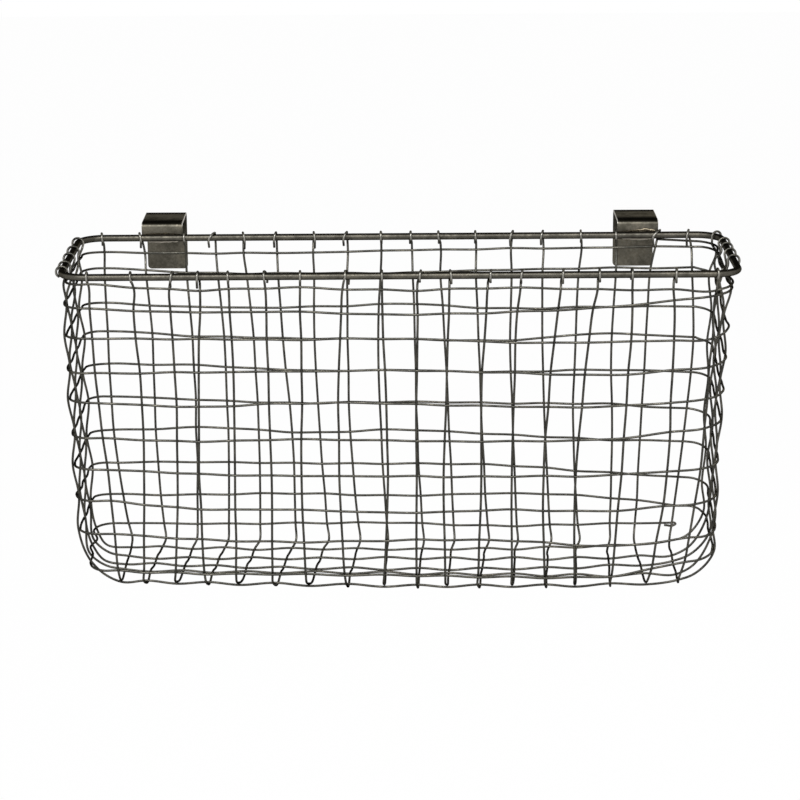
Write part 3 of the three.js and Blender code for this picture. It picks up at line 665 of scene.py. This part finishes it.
class Shading:
    """The shader nodes of a material or a world, under construction."""

    def __init__(self, owner, shader):
        owner.use_nodes = True
        self.owner = owner
        self.nodes = owner.node_tree.nodes
        self.links = owner.node_tree.links
        self.shader = self.nodes[shader]

    def feed(self, socket, value):
        if isinstance(value, bpy.types.NodeSocket):
            self.links.new(value, socket)
        else:
            socket.default_value = value

    def add(self, kind, fed=None, **settings):
        """A node with its settings, and with its sockets, by name or number, fed as said."""
        node = self.nodes.new(kind)
        for setting, value in settings.items():
            setattr(node, setting, value)
        for socket, value in (fed or {}).items():
            self.feed(node.inputs[socket], value)
        return node

    def noise(self, place, scale, detail, roughness):
        fed = {"Vector": place, "Scale": scale, "Detail": detail, "Roughness": roughness}
        return self.add("ShaderNodeTexNoise", fed).outputs["Fac"]

    def ramp(self, value, stops):
        node = self.add("ShaderNodeValToRGB", {"Fac": value})
        elements = node.color_ramp.elements
        while len(elements) < len(stops):
            elements.new(1)
        for element, (position, shade) in zip(elements, stops):
            element.position = position
            element.color = shade
        return node.outputs["Color"]

    def spread(self, value, from_low, from_high, low, high):
        fed = {"Value": value, "From Min": from_low, "From Max": from_high, "To Min": low, "To Max": high}
        return self.add("ShaderNodeMapRange", fed).outputs["Result"]

    def blend(self, share, first, second):
        node = self.add("ShaderNodeMix", data_type="RGBA")
        for name, value in (("Factor", share), ("A", first), ("B", second)):
            self.feed([s for s in node.inputs if s.name == name and s.enabled][0], value)
        return [s for s in node.outputs if s.enabled][0]

    def axes(self, place):
        return self.add("ShaderNodeSeparateXYZ", {"Vector": place}).outputs

    def math(self, operation, first, second):
        return self.add("ShaderNodeMath", {0: first, 1: second}, operation=operation).outputs["Value"]

    def size_of(self, value):
        return self.math("ABSOLUTE", value, 0)

    def set(self, **values):
        for name, value in values.items():
            self.feed(self.shader.inputs[name.replace("_", " ")], value)


# Sizes of the patches in the finish, in waves to the metre, and how broken up their outlines are
PATCH_WAVES = 90
MOTTLE_WAVES = 620
PIT_WAVES = 2600
PATCH_ROUGHNESS = 0.6
MOTTLE_ROUGHNESS = 0.55
PIT_ROUGHNESS = 0.5

# Where on the patches' and the mottle's range one tone gives way to the next
DARK_SHARE = 0.34
PLAIN_SHARE = 0.5
WARM_SHARE = 0.66
MOTTLE_SHARES = (0.35, 0.7)
GLOSS_SHARES = (0.3, 0.7)
WEAR_BREAK_SHARES = (0.3, 0.55)
SPECK_SHARES = (0.66, 0.74)

# How much of each tone shows where it is at its fullest, and how far a bevelled normal has turned, as a
# cosine, where an edge starts to look rubbed and where it is fully rubbed
MOTTLE_FULL_SHARE = 0.55
SPECK_FULL_SHARE = 0.5
WEAR_FULL_SHARE = 0.75
LEAST_WEAR_SHARE = 0.35
WEAR_COSINES = (0.995, 0.86)
WEAR_SAMPLES = 6
BUMP_STRENGTH = 0.35
BUMP_HEIGHT = 0.00006
EDGE_TINT = colour(0.07, 0.065, 0.06)


def aged_metal(name, dark, plain, warm, pale, roughness_range, wear_radius, painted_light=None):
    """Antiqued metal: dark oxide in patches, warm brown where it is thin, and pale rubbed edges."""
    look = Shading(bpy.data.materials.new(name), "Principled BSDF")
    place = look.add("ShaderNodeTexCoord").outputs["Object"]
    patches = look.noise(place, PATCH_WAVES, 4, PATCH_ROUGHNESS)
    mottle = look.noise(place, MOTTLE_WAVES, 3, MOTTLE_ROUGHNESS)
    pits = look.noise(place, PIT_WAVES, 2, PIT_ROUGHNESS)
    ground = look.ramp(patches, [(DARK_SHARE, dark), (PLAIN_SHARE, plain), (WARM_SHARE, warm)])
    mottled = look.blend(look.spread(mottle, *MOTTLE_SHARES, 0, MOTTLE_FULL_SHARE), ground, dark)
    rounded = look.add("ShaderNodeBevel", {"Radius": wear_radius}, samples=WEAR_SAMPLES).outputs["Normal"]
    flat = look.add("ShaderNodeNewGeometry").outputs["Normal"]
    facing = look.add("ShaderNodeVectorMath", {0: rounded, 1: flat}, operation="DOT_PRODUCT")
    edge = look.spread(facing.outputs["Value"], *WEAR_COSINES, 0, WEAR_FULL_SHARE)
    worn = look.math("MULTIPLY", edge, look.spread(mottle, *WEAR_BREAK_SHARES, LEAST_WEAR_SHARE, 1))
    worn_and_highlit = look.blend(worn, mottled, pale)
    flecks = look.noise(place, PIT_WAVES, 1, PIT_ROUGHNESS)
    shade = look.blend(look.spread(flecks, *SPECK_SHARES, 0, SPECK_FULL_SHARE), worn_and_highlit, pale)
    bumps = {"Height": look.math("ADD", mottle, pits), "Strength": BUMP_STRENGTH, "Distance": BUMP_HEIGHT}
    # Where it is given, painted light and shade is laid over the colour here.
    look.set(
        Base_Color=painted_light(look, look.axes(place), shade) if painted_light else shade,
        Metallic=1.0,
        Roughness=look.spread(mottle, *GLOSS_SHARES, *roughness_range),
        Specular_Tint=EDGE_TINT,
        Normal=look.add("ShaderNodeBump", bumps).outputs["Normal"],
    )
    return look.owner


# Painted light that follows the part: painted shade, near black, along the top and the underside of the
# rim's rod, on the hooks' top webs and on their rear legs, and painted highlights where wires pass over
# the rod and on the webs' cut edges. A full share is how much of a mark shows where it is strongest. Each
# of the rod's two bands has a start and an end above its centre, as shares of its radius, and a full
# share.
PAINTED_BLACK_SHADE = colour(0.006, 0.0055, 0.004)
PAINTED_CUT_HIGHLIGHT = colour(0.55, 0.53, 0.49)
PAINTED_WRAP_HIGHLIGHT = colour(0.30, 0.29, 0.26)
ROD_SHADE_SHARES = [(0.45, 0.72, 0.9), (-0.35, -0.9, 0.75)]
WRAP_HIGHLIGHT_FULL_SHARE = 0.8
WEB_REAR_SHARE = 0.3
WEB_FRONT_SHARE = 0.97
LEG_SHADE_FULL_SHARE = 0.75
CUT_EDGE_REACH = 0.0005


# Painted shade: the rod is made near black in a band along its top and in another along its underside.
def rod_painted_shade(look, axes, shade):
    height = look.math("SUBTRACT", axes["Z"], RIM_HEIGHT)
    shade_bands = []
    for start_share, end_share, full_share in ROD_SHADE_SHARES:
        shade_bands.append(look.spread(height, start_share * ROD_RADIUS, end_share * ROD_RADIUS, 0, full_share))
    return look.blend(look.math("MAXIMUM", *shade_bands), shade, PAINTED_BLACK_SHADE)


# Painted highlight: the wires are made lighter where they pass over the rod, near its height.
def wire_painted_highlight(look, axes, shade):
    off_rod = look.size_of(look.math("SUBTRACT", axes["Z"], RIM_HEIGHT))
    worn_and_highlit = look.spread(off_rod, ROD_DIAMETER * 2 / 3, ROD_RADIUS / 2, 0, WRAP_HIGHLIGHT_FULL_SHARE)
    return look.blend(worn_and_highlit, shade, PAINTED_WRAP_HIGHLIGHT)


# Painted shade: the hooks' top webs are made near black, more so towards the front, and their rear legs
# are made darker towards the top.
def strip_painted_light(look, axes, shade):
    on_top = look.spread(axes["Z"], -HOOK_THICKNESS / 3, HOOK_THICKNESS / 3, 0, 1)
    to_front = look.spread(axes["Y"], -HOOK_GAP / 8, -HOOK_GAP / 3, WEB_REAR_SHARE, WEB_FRONT_SHARE)
    web_shaded = look.blend(look.math("MULTIPLY", on_top, to_front), shade, PAINTED_BLACK_SHADE)
    on_leg = look.spread(axes["Y"], HOOK_GAP / 4, HOOK_GAP / 3, 0, 1)
    leg_shade = look.spread(axes["Z"], -HOOK_LEG_LENGTH / 2, -HOOK_RISE, 0, LEG_SHADE_FULL_SHARE)
    leg_shaded = look.blend(look.math("MULTIPLY", on_leg, leg_shade), web_shaded, PAINTED_BLACK_SHADE)
    # Painted highlight: a pale line along the webs' cut edges, at the level of the web.
    off_middle = look.size_of(look.math("SUBTRACT", look.size_of(axes["X"]), HOOK_MIDDLES["right"]))
    cut = look.spread(off_middle, HOOK_WIDTH / 2 - CUT_EDGE_REACH, HOOK_WIDTH / 2, 0, 1)
    level = look.spread(axes["Z"], -HOOK_THICKNESS, 0, 0, 1)
    return look.blend(look.math("MULTIPLY", cut, level), leg_shaded, PAINTED_CUT_HIGHLIGHT)


wire_metal = aged_metal(
    "aged_wire",
    dark=colour(0.036, 0.035, 0.031),
    plain=colour(0.068, 0.066, 0.056),
    warm=colour(0.120, 0.113, 0.094),
    pale=colour(0.24, 0.23, 0.20),
    roughness_range=(0.30, 0.46),
    wear_radius=WIRE_RADIUS / 2,
    painted_light=wire_painted_highlight,
)
rod_metal = aged_metal(
    "aged_rod",
    dark=colour(0.058, 0.054, 0.044),
    plain=colour(0.100, 0.094, 0.078),
    warm=colour(0.132, 0.122, 0.098),
    pale=colour(0.28, 0.27, 0.23),
    roughness_range=(0.46, 0.60),
    wear_radius=ROD_RADIUS / 4,
    painted_light=rod_painted_shade,
)
strip_metal = aged_metal(
    "aged_strip",
    dark=colour(0.076, 0.070, 0.054),
    plain=colour(0.140, 0.130, 0.104),
    warm=colour(0.178, 0.162, 0.126),
    pale=colour(0.34, 0.33, 0.29),
    roughness_range=(0.46, 0.62),
    wear_radius=HOOK_THICKNESS / 3,
    painted_light=strip_painted_light,
)
seam_metal = aged_metal(
    "braze_seam",
    dark=colour(0.26, 0.24, 0.20),
    plain=colour(0.42, 0.385, 0.33),
    warm=colour(0.50, 0.46, 0.38),
    pale=colour(0.60, 0.56, 0.48),
    roughness_range=(0.34, 0.54),
    wear_radius=BEAD_WIDTH / 4,
)
# A shaded copy of the braze for the beads above the rod: painted shade makes it near black, and its pale
# edges and specks are a painted rim-light highlight on the bead's crown.
shaded_braze_metal = aged_metal(
    "shaded_braze",
    dark=colour(0.008, 0.007, 0.005),
    plain=colour(0.016, 0.013, 0.009),
    warm=colour(0.070, 0.054, 0.030),
    pale=colour(0.42, 0.36, 0.26),
    roughness_range=(0.36, 0.56),
    wear_radius=BEAD_WIDTH / 4,
)


# Rim
def rim_path():
    places = []
    corners = [(1, RIM_BACK, 1), (-1, RIM_BACK, 1), (-1, RIM_FRONT, -1), (1, RIM_FRONT, -1)]
    for quarter, (end, edge, side) in enumerate(corners):
        centre_x = end * (HALF_LENGTH - RIM_CORNER_RADIUS)
        centre_y = edge - side * RIM_CORNER_RADIUS
        for step in range(CORNER_STEPS + 1):
            angle = math.pi / 2 * (quarter + step / CORNER_STEPS)
            x = centre_x + RIM_CORNER_RADIUS * math.cos(angle)
            places.append((x, centre_y + RIM_CORNER_RADIUS * math.sin(angle), RIM_HEIGHT))
    return np.array(places)


rod = bar_mesh("basket_rim", rim_path(), ROD_RADIUS, ROD_SIDES, True)
add_piece("basket_rim", rod, "rim", rod_metal)


def add_wire(node, places):
    wire = bar_mesh(node, smooth_path(places), WIRE_RADIUS, WIRE_SIDES, False)
    add_piece(f"woven_{node}", wire, node, wire_metal)


# Cross wires
def cross_wrap(side, cross, first_place):
    """A cross wire's end: up beside the rod, over it, and down on its other side to the cut."""
    wall = wall_name(side)
    cut_side, shift_share, drop_share = cross[f"{wall}_cut_shares"]
    rim_share = cross[wall][0] if side < 0 else beside_hooks(cross[wall][0])
    rod, outward = rod_beside_cross(side, rim_share)
    sideways = outward.cross(UP) * side_of(outward.y)
    slant = first_place.x - rod.x
    shift = shift_share * ROD_DIAMETER
    start = OUTER_WRAP_START if cut_side == INSIDE else INNER_WRAP_START
    steps = math.ceil((WRAP_END - start) / WRAP_TURN)
    places = []
    for step in range(steps + 1):
        angle = mix(start, WRAP_END, step / steps)
        over = angle / (math.pi / 2)
        drift = slant * max(-over, 0) + shift * max(over - 1, 0)
        ring = outward * (cut_side * CROSS_WRAP_RADIUS * math.cos(angle))
        places.append(rod + ring + UP * (CROSS_WRAP_RADIUS * math.sin(angle)) + sideways * drift)
    end = rod - outward * (cut_side * CROSS_WRAP_RADIUS) + sideways * shift
    places.append(end - UP * (drop_share * ROD_DIAMETER))
    return places


def cross_wall_run(side, cross, index):
    """A cross wire's places down a long wall, and in the bend at the wall's foot."""
    wall = wall_name(side)
    places = []
    for row, hoop in enumerate(HOOP_DEPTH_SHARES):
        sign = alternating(ring_place(wall, index) + row + 1)
        places.append(woven(wall_meeting(side, cross, hoop), sign))
    foot = corner_depth_share(cross[wall][-1], side_bottom_radius(side), math.pi / 4)
    places.append(wandered(on_long_wall(side, cross[wall][-1], foot)[0]))
    return places


def cross_wire_places(cross, index):
    front = cross_wall_run(-1, cross, index)
    back = cross_wall_run(1, cross, index)
    bottom = []
    for column in reversed(range(LENGTHWISE_COUNT)):
        sign = alternating(index + LENGTHWISE_COUNT - column)
        bottom.append(woven(bottom_meeting(cross, LENGTHWISE_SHARES[column]), sign))
    return [
        *reversed(cross_wrap(-1, cross, front[0])),
        *front,
        *bottom,
        *reversed(back),
        *cross_wrap(1, cross, back[0]),
    ]


for index, cross in enumerate(CROSS_WIRE_SHARES):
    add_wire(f"cross_wire_{index + 1:02d}", cross_wire_places(cross, index))


# Lengthwise wires
def end_loop(side, lengthwise, column):
    """A lengthwise wire's end: up inside the rod, over it and down outside it, nearly once round."""
    run = lengthwise[end_name(side)]
    rod, outward = rod_beside_lengthwise(side, run[0])
    sideways = outward.cross(UP)
    steps = math.ceil((LOOP_END - LOOP_START) / WRAP_TURN)
    places = []
    for step in range(steps + 1):
        angle = mix(LOOP_START, LOOP_END, step / steps)
        drift = sideways * (WIRE_DIAMETER * (step / steps) * alternating(column))
        ring = UP * (END_LOOP_RADIUS * math.sin(angle)) - outward * (END_LOOP_RADIUS * math.cos(angle))
        places.append(rod + ring + drift)
    return places


def end_run(side, lengthwise, column):
    run = lengthwise[end_name(side)]
    place = ring_place(end_name(side), column)
    places = list(reversed(end_loop(side, lengthwise, column)))
    for row in range(HOOP_COUNT):
        sign = alternating(place + row + 1)
        places.append(woven(end_meeting(side, lengthwise, row), sign, END_WIRE_SWAY_SHARE))
    bend_radius = end_bend(side, lengthwise)
    foot = corner_depth_share(end_station(side), bend_radius, math.pi / 3)
    places.append(wandered(on_end_wall(side, lengthwise_y(run[-1]), foot, bend_radius)[0]))
    return places


def lengthwise_places(lengthwise, column):
    places = end_run(-1, lengthwise, column)
    for index, cross in enumerate(CROSS_WIRE_SHARES):
        sign = -alternating(index + LENGTHWISE_COUNT - column)
        places.append(woven(bottom_meeting(cross, lengthwise), sign))
    return places + list(reversed(end_run(1, lengthwise, column)))


for column, lengthwise in enumerate(LENGTHWISE_SHARES):
    add_wire(f"lengthwise_wire_{column + 1}", lengthwise_places(lengthwise, column))


# Hoops: the turns of one spiral. The top one ends above itself, beside the last cross wire but one.
def corner_between(end, side, lengthwise, on_wall, row):
    on_end = end_meeting(end, lengthwise, row)
    start_turn = on_wall[2]
    end_turn = math.pi / 2 - on_end[2]
    steps = max(math.ceil((end_turn - start_turn) / MESH_TURN), 1)
    start_share = (RIM_HEIGHT - on_wall[0].z) / BASKET_HEIGHT
    end_share = (RIM_HEIGHT - on_end[0].z) / BASKET_HEIGHT
    places = []
    for step in range(1, steps):
        share = step / steps
        turn = mix(start_turn, end_turn, share)
        depth_share = mix(start_share, end_share, share)
        places.append(on_upright_corner(end, side, depth_share, turn, end_bend(end, lengthwise)))
    return places


def wall_crossing(side, index, hoop, row):
    sign = -alternating(ring_place(wall_name(side), index) + row + 1)
    crossing = woven(wall_meeting(side, CROSS_WIRE_SHARES[index], hoop), sign)
    return crossing + UP * (sign * TOP_HOOP_CRIMP) if row == 0 and side < 0 else crossing


def turn_start(hoop, row):
    last = wall_crossing(1, CROSS_COUNT - 1, hoop, row)
    before = wall_crossing(1, CROSS_COUNT - 2, hoop, row)
    direction = (last - before).normalized()
    return last + direction * TURN_LAP, direction


def bottom_end(start, direction):
    """The spiral's lower end, bent back beneath itself round the last cross wire."""
    bend = direction * (BOTTOM_END_DROP / 2) - UP * (BOTTOM_END_DROP / 2)
    below = start - UP * BOTTOM_END_DROP
    return [below - direction * BOTTOM_END_LENGTH, below, start + bend]


def hoop_places(hoop, row):
    first, last = CROSS_WIRE_SHARES[0], CROSS_WIRE_SHARES[-1]
    back_wire, front_wire = LENGTHWISE_SHARES[0], LENGTHWISE_SHARES[-1]
    above = turn_above(row)

    def corner(end, side, cross, lengthwise, wall_hoop):
        return corner_between(end, side, lengthwise, wall_meeting(side, cross, wall_hoop), row)

    def wall_run(side):
        return [wall_crossing(side, index, hoop, row) for index in range(CROSS_COUNT)]

    def end_run_of(side):
        places = []
        for column, lengthwise in enumerate(LENGTHWISE_SHARES):
            sign = -alternating(ring_place(end_name(side), column) + row + 1)
            places.append(woven(end_meeting(side, lengthwise, row), sign, END_HOOP_SWAY_SHARE))
        return places

    next_start, direction = turn_start(above, row - 1)
    if row == 0:
        handover = [next_start, wall_crossing(1, CROSS_COUNT - 1, above, -1)]
        handover.append(handover[-1] - direction * TOP_END_LENGTH)
    else:
        handover = [next_start - direction * TURN_JOINT]
    start, start_direction = turn_start(hoop, row)
    return [
        *(bottom_end(start, start_direction) if row == HOOP_COUNT - 1 else []),
        start,
        *reversed(wall_run(1)),
        *corner(-1, 1, first, back_wire, hoop),
        *end_run_of(-1),
        *reversed(corner(-1, -1, first, front_wire, hoop)),
        *wall_run(-1),
        *corner(1, -1, last, front_wire, hoop),
        *reversed(end_run_of(1)),
        *reversed(corner(1, 1, last, back_wire, above)),
        *handover,
    ]


for row, hoop in enumerate(HOOP_DEPTH_SHARES):
    add_wire(f"hoop_{row + 1:02d}", hoop_places(hoop, row))


# Hooks: a strip that follows its middle line from the front flange over the web and down the rear leg
BEND_STEPS = 8
STRIP_COLUMNS = 10
STRIP_STEP = 0.004
CORNER_ROWS = 5
BEVEL_SEGMENTS = 2
BEVEL_LEAST_TURN = math.radians(50)


def hook_line():
    """The strip's middle line in Y and Z, with the direction that points out of the U."""
    radius = HOOK_BEND_RADIUS + HOOK_THICKNESS / 2
    front = -HOOK_GAP / 2 + HOOK_BEND_RADIUS
    back = -front
    line = []

    def straight(start, end, out):
        steps = max(math.ceil((end - start).length / STRIP_STEP), 1)
        line.extend((start.lerp(end, step / steps), out) for step in range(steps))

    def bend(centre, start_angle, end_angle):
        for step in range(BEND_STEPS):
            angle = mix(start_angle, end_angle, step / BEND_STEPS)
            out = Vector((math.cos(angle), math.sin(angle)))
            line.append((centre + out * radius, out))

    low = -HOOK_BEND_RADIUS
    flange_end = RIM_HEIGHT - HOOK_FLANGE_DROP
    leg_end = HOOK_THICKNESS - HOOK_LEG_LENGTH
    web = low + radius
    flange_y = front - radius
    leg_y = back + radius
    straight(Vector((flange_y, flange_end)), Vector((flange_y, low)), Vector((-1, 0)))
    bend(Vector((front, low)), math.pi, math.pi / 2)
    straight(Vector((front, web)), Vector((back, web)), Vector((0, 1)))
    bend(Vector((back, low)), math.pi / 2, 0)
    straight(Vector((leg_y, low)), Vector((leg_y, leg_end + HOOK_LEG_CORNER)), Vector((1, 0)))
    for step in range(CORNER_ROWS + 1):
        turn = math.pi / 2 * step / CORNER_ROWS
        z = leg_end + HOOK_LEG_CORNER * (1 - math.sin(turn))
        line.append((Vector((leg_y, z)), Vector((1, 0))))
    return line, leg_end


def hook_mesh(name, middle, seed):
    """A strip with an outer and an inner layer of points, closed along its edges and ends. Its surface
    waves a little, and the lower corners of its leg are round."""
    line, leg_end = hook_line()
    rear = HOOK_GAP / 2
    layers = {1: [], -1: []}
    for place, out in line:
        half_width = HOOK_WIDTH / 2
        to_end = place.y - leg_end
        if place.x > rear and to_end < HOOK_LEG_CORNER:
            reach = HOOK_LEG_CORNER - to_end
            half_width -= HOOK_LEG_CORNER - math.sqrt(max(HOOK_LEG_CORNER**2 - reach**2, 0))
        for column in range(STRIP_COLUMNS + 1):
            x = middle + half_width * (2 * column / STRIP_COLUMNS - 1)
            wave_place = Vector((x, place.x, place.y)) / HOOK_WIDTH + Vector((seed, 0, 0))
            wave = noise.noise(wave_place) * HOOK_WAVE
            for layer, points in layers.items():
                off = out * (layer * HOOK_THICKNESS / 2 + wave)
                points.append(Vector((x, place.x + off.x, place.y + off.y)))
    width = STRIP_COLUMNS + 1
    inner = len(line) * width
    faces = []
    for row in range(len(line) - 1):
        for column in range(STRIP_COLUMNS):
            near = row * width + column
            far = near + width
            faces.append((near, near + 1, far + 1, far))
            faces.append((inner + near, inner + far, inner + far + 1, inner + near + 1))
        for column in (0, STRIP_COLUMNS):
            near = row * width + column
            far = near + width
            side = (near, far, inner + far, inner + near)
            faces.append(side if column == 0 else side[::-1])
    for near in range(STRIP_COLUMNS):
        far = inner - width + near
        faces.append((near, inner + near, inner + near + 1, near + 1))
        faces.append((far, far + 1, inner + far + 1, inner + far))
    return new_mesh(name, [tuple(point) for point in layers[1] + layers[-1]], faces)


def apply_modifiers(piece):
    bpy.context.view_layer.update()
    evaluated = piece.evaluated_get(bpy.context.evaluated_depsgraph_get())
    mesh = bpy.data.meshes.new_from_object(evaluated)
    piece.modifiers.clear()
    piece.data = mesh


for seed, (name, middle) in enumerate(HOOK_MIDDLES.items()):
    strip = hook_mesh(name, middle, seed)
    hook = add_piece(f"{name}_strip_hook", strip, f"{name}_hook", strip_metal)
    bevel = hook.modifiers.new("edges", "BEVEL")
    bevel.width = HOOK_EDGE_BEVEL
    bevel.segments = BEVEL_SEGMENTS
    bevel.limit_method = "ANGLE"
    bevel.angle_limit = BEVEL_LEAST_TURN
    apply_modifiers(hook)
    hook.data.shade_smooth()


# Braze: uneven beads in the grooves above and below the rod
BEAD_STATIONS = 64
BEAD_HUG_STEPS = 6
BEAD_CROWN_STEPS = 6
BEAD_WAVES = 260
BEAD_FINE_TIMES = 4
BEAD_END_SHARE = 0.02
BEAD_END_POWER = 0.35


def bead_section(width, height, roughness):
    """The outline of a bead in Y and Z: round the rod from the strip's face, and back over the crown."""
    hug = ROD_RADIUS + SEAT_GAP
    seat = math.acos(ROD_RADIUS / hug)
    crown = math.acos(min((ROD_RADIUS - width) / hug, 1))
    section = []
    for step in range(BEAD_HUG_STEPS + 1):
        angle = mix(seat, crown, step / BEAD_HUG_STEPS)
        section.append((RIM_BACK + hug * math.cos(angle), hug * math.sin(angle)))
    low_y, low_z = section[-1]
    top_y = RIM_BACK + ROD_RADIUS + SEAT_GAP / 2
    top_z = max(hug * math.sin(crown) + height, low_z)
    for step in range(1, BEAD_CROWN_STEPS + 1):
        turn = math.pi / 2 * step / BEAD_CROWN_STEPS
        z = mix(low_z, top_z, 1 - math.cos(turn)) + roughness * math.sin(2 * turn)
        section.append((mix(low_y, top_y, math.sin(turn)), z))
    return section


def bead_mesh(name, direction, middle, rise, seed):
    """A bead above the rod, or below it, that thins out at its ends and rises by rise to the right."""
    base_height = UPPER_BEAD_HEIGHT if direction > 0 else LOWER_BEAD_HEIGHT
    points = []
    for station in range(BEAD_STATIONS + 1):
        share = station / BEAD_STATIONS
        x = middle + BEAD_LENGTH * (share - 1 / 2)
        along = min(max(share, BEAD_END_SHARE), 1 - BEAD_END_SHARE)
        swell = math.sin(math.pi * along) ** BEAD_END_POWER
        wobble = noise.noise(Vector((x * BEAD_WAVES, seed, direction)))
        fine = noise.noise(Vector((x * BEAD_WAVES * BEAD_FINE_TIMES, seed, 1 - direction)))
        height = (base_height + rise * share**2) * swell + BEAD_WOBBLE * (wobble + fine / 2)
        section = bead_section(BEAD_WIDTH * swell * (1 + wobble / 3), height, fine * BEAD_WOBBLE / 4)
        points.extend((x, y, RIM_HEIGHT + direction * z) for y, z in section)
    faces = tube_faces(BEAD_STATIONS + 1, BEAD_HUG_STEPS + 1 + BEAD_CROWN_STEPS, False)
    mesh = new_mesh(name, points, faces if direction > 0 else [face[::-1] for face in faces])
    mesh.shade_smooth()
    return mesh


for seed, (name, middle) in enumerate(HOOK_MIDDLES.items()):
    for level, direction in (("upper", 1), ("lower", -1)):
        rise = RIGHT_BEAD_RISE if (name, level) == ("right", "upper") else 0
        node = f"{name}_hook_{level}_braze"
        # The upper beads take the shaded copy of the braze, painted dark as shade; the lower beads take
        # the braze's own colour.
        metal = shaded_braze_metal if level == "upper" else seam_metal
        add_piece(f"{node}_bead", bead_mesh(node, direction, middle, rise, seed), node, metal)


# Floor, world and lights. The camera and glossy things see the paper and the world as white, and the
# object is lit by less than that.
FLOOR_DROP = 0.5
FLOOR_SIZE = 14
PAPER_SHADE = 0.94
PAPER_ROUGHNESS = 0.9
PAPER_WHITE_SHARE = 0.97
WORLD_LIGHT_SHARE = 0.55
KEY_OFFSET = Vector((-0.25, -1.35, 1.35))
KEY_SIZE = (1.5, 0.45)
KEY_POWER = 40
BACK_LIGHT_OFFSET = Vector((0.9, 0.9, 1.1))
BACK_LIGHT_SIZE = (0.8, 0.5)
BACK_LIGHT_POWER = 8


def seen_rays(look):
    """1 for what the camera and glossy or clear things see, 0 for plain light."""
    rays = look.add("ShaderNodeLightPath").outputs
    mirrored = look.math("MAXIMUM", rays["Is Glossy Ray"], rays["Is Transmission Ray"])
    return look.math("MAXIMUM", rays["Is Camera Ray"], mirrored)


half = FLOOR_SIZE / 2
floor_corners = [(-half, -half, 0), (half, -half, 0), (half, half, 0), (-half, half, 0)]
floor = new_object("floor", new_mesh("floor", floor_corners, [(0, 1, 2, 3)]))
floor.location.z = cad_box[0][2] - FLOOR_DROP
paper = Shading(bpy.data.materials.new("floor_paper"), "Principled BSDF")
paper.set(Base_Color=colour(PAPER_SHADE, PAPER_SHADE, PAPER_SHADE), Roughness=PAPER_ROUGHNESS)
glow = paper.add("ShaderNodeEmission").outputs["Emission"]
white_share = paper.math("MULTIPLY", seen_rays(paper), PAPER_WHITE_SHARE)
whitened = paper.add("ShaderNodeMixShader", {"Fac": white_share, 1: paper.shader.outputs["BSDF"], 2: glow})
paper.links.new(whitened.outputs["Shader"], paper.nodes["Material Output"].inputs["Surface"])
floor.data.materials.append(paper.owner)

world = bpy.data.worlds.new("studio")
bpy.context.scene.world = world
sky = Shading(world, "Background")
sky.set(Color=colour(1, 1, 1), Strength=sky.spread(seen_rays(sky), 0, 1, WORLD_LIGHT_SHARE, 1))

middle = (Vector(cad_box[0]) + Vector(cad_box[1])) / 2


def softbox(name, offset, size, power):
    """A lamp at an offset from the part's middle, aimed at it."""
    light = bpy.data.lights.new(name, "AREA")
    light.shape = "RECTANGLE"
    light.size, light.size_y = size
    light.energy = power
    lamp = new_object(name, light)
    lamp.location = middle + offset
    lamp.rotation_euler = (middle - lamp.location).to_track_quat("-Z", "Y").to_euler()


softbox("key", KEY_OFFSET, KEY_SIZE, KEY_POWER)
softbox("rim_light", BACK_LIGHT_OFFSET, BACK_LIGHT_SIZE, BACK_LIGHT_POWER)

# Camera: worked out from the rim's own perspective in the photograph
PHOTO_PIXELS = 800
FOCAL_PIXELS = 2686.1
SENSOR_WIDTH = 36
CAMERA_PLACE = (0.004468, -1.85959, 0.37517)
CAMERA_PITCH = 0.266718
CAMERA_YAW = -0.0028
CAMERA_ROLL = -0.0066

lens = bpy.data.cameras.new("camera")
lens.sensor_fit = "HORIZONTAL"
lens.sensor_width = SENSOR_WIDTH
lens.lens = SENSOR_WIDTH * FOCAL_PIXELS / PHOTO_PIXELS
camera = new_object("camera", lens)
level_right = Vector((math.cos(CAMERA_YAW), -math.sin(CAMERA_YAW), 0))
level_ahead = Vector((math.sin(CAMERA_YAW), math.cos(CAMERA_YAW), 0))
ahead = level_ahead * math.cos(CAMERA_PITCH) - UP * math.sin(CAMERA_PITCH)
head = level_ahead * math.sin(CAMERA_PITCH) + UP * math.cos(CAMERA_PITCH)
right = level_right * math.cos(CAMERA_ROLL) + head * math.sin(CAMERA_ROLL)
top = head * math.cos(CAMERA_ROLL) - level_right * math.sin(CAMERA_ROLL)
turned = Matrix((right, top, -ahead)).transposed().to_4x4()
camera.matrix_world = Matrix.Translation(CAMERA_PLACE) @ turned
bpy.context.scene.camera = camera
bpy.context.scene.view_settings.view_transform = "Standard"
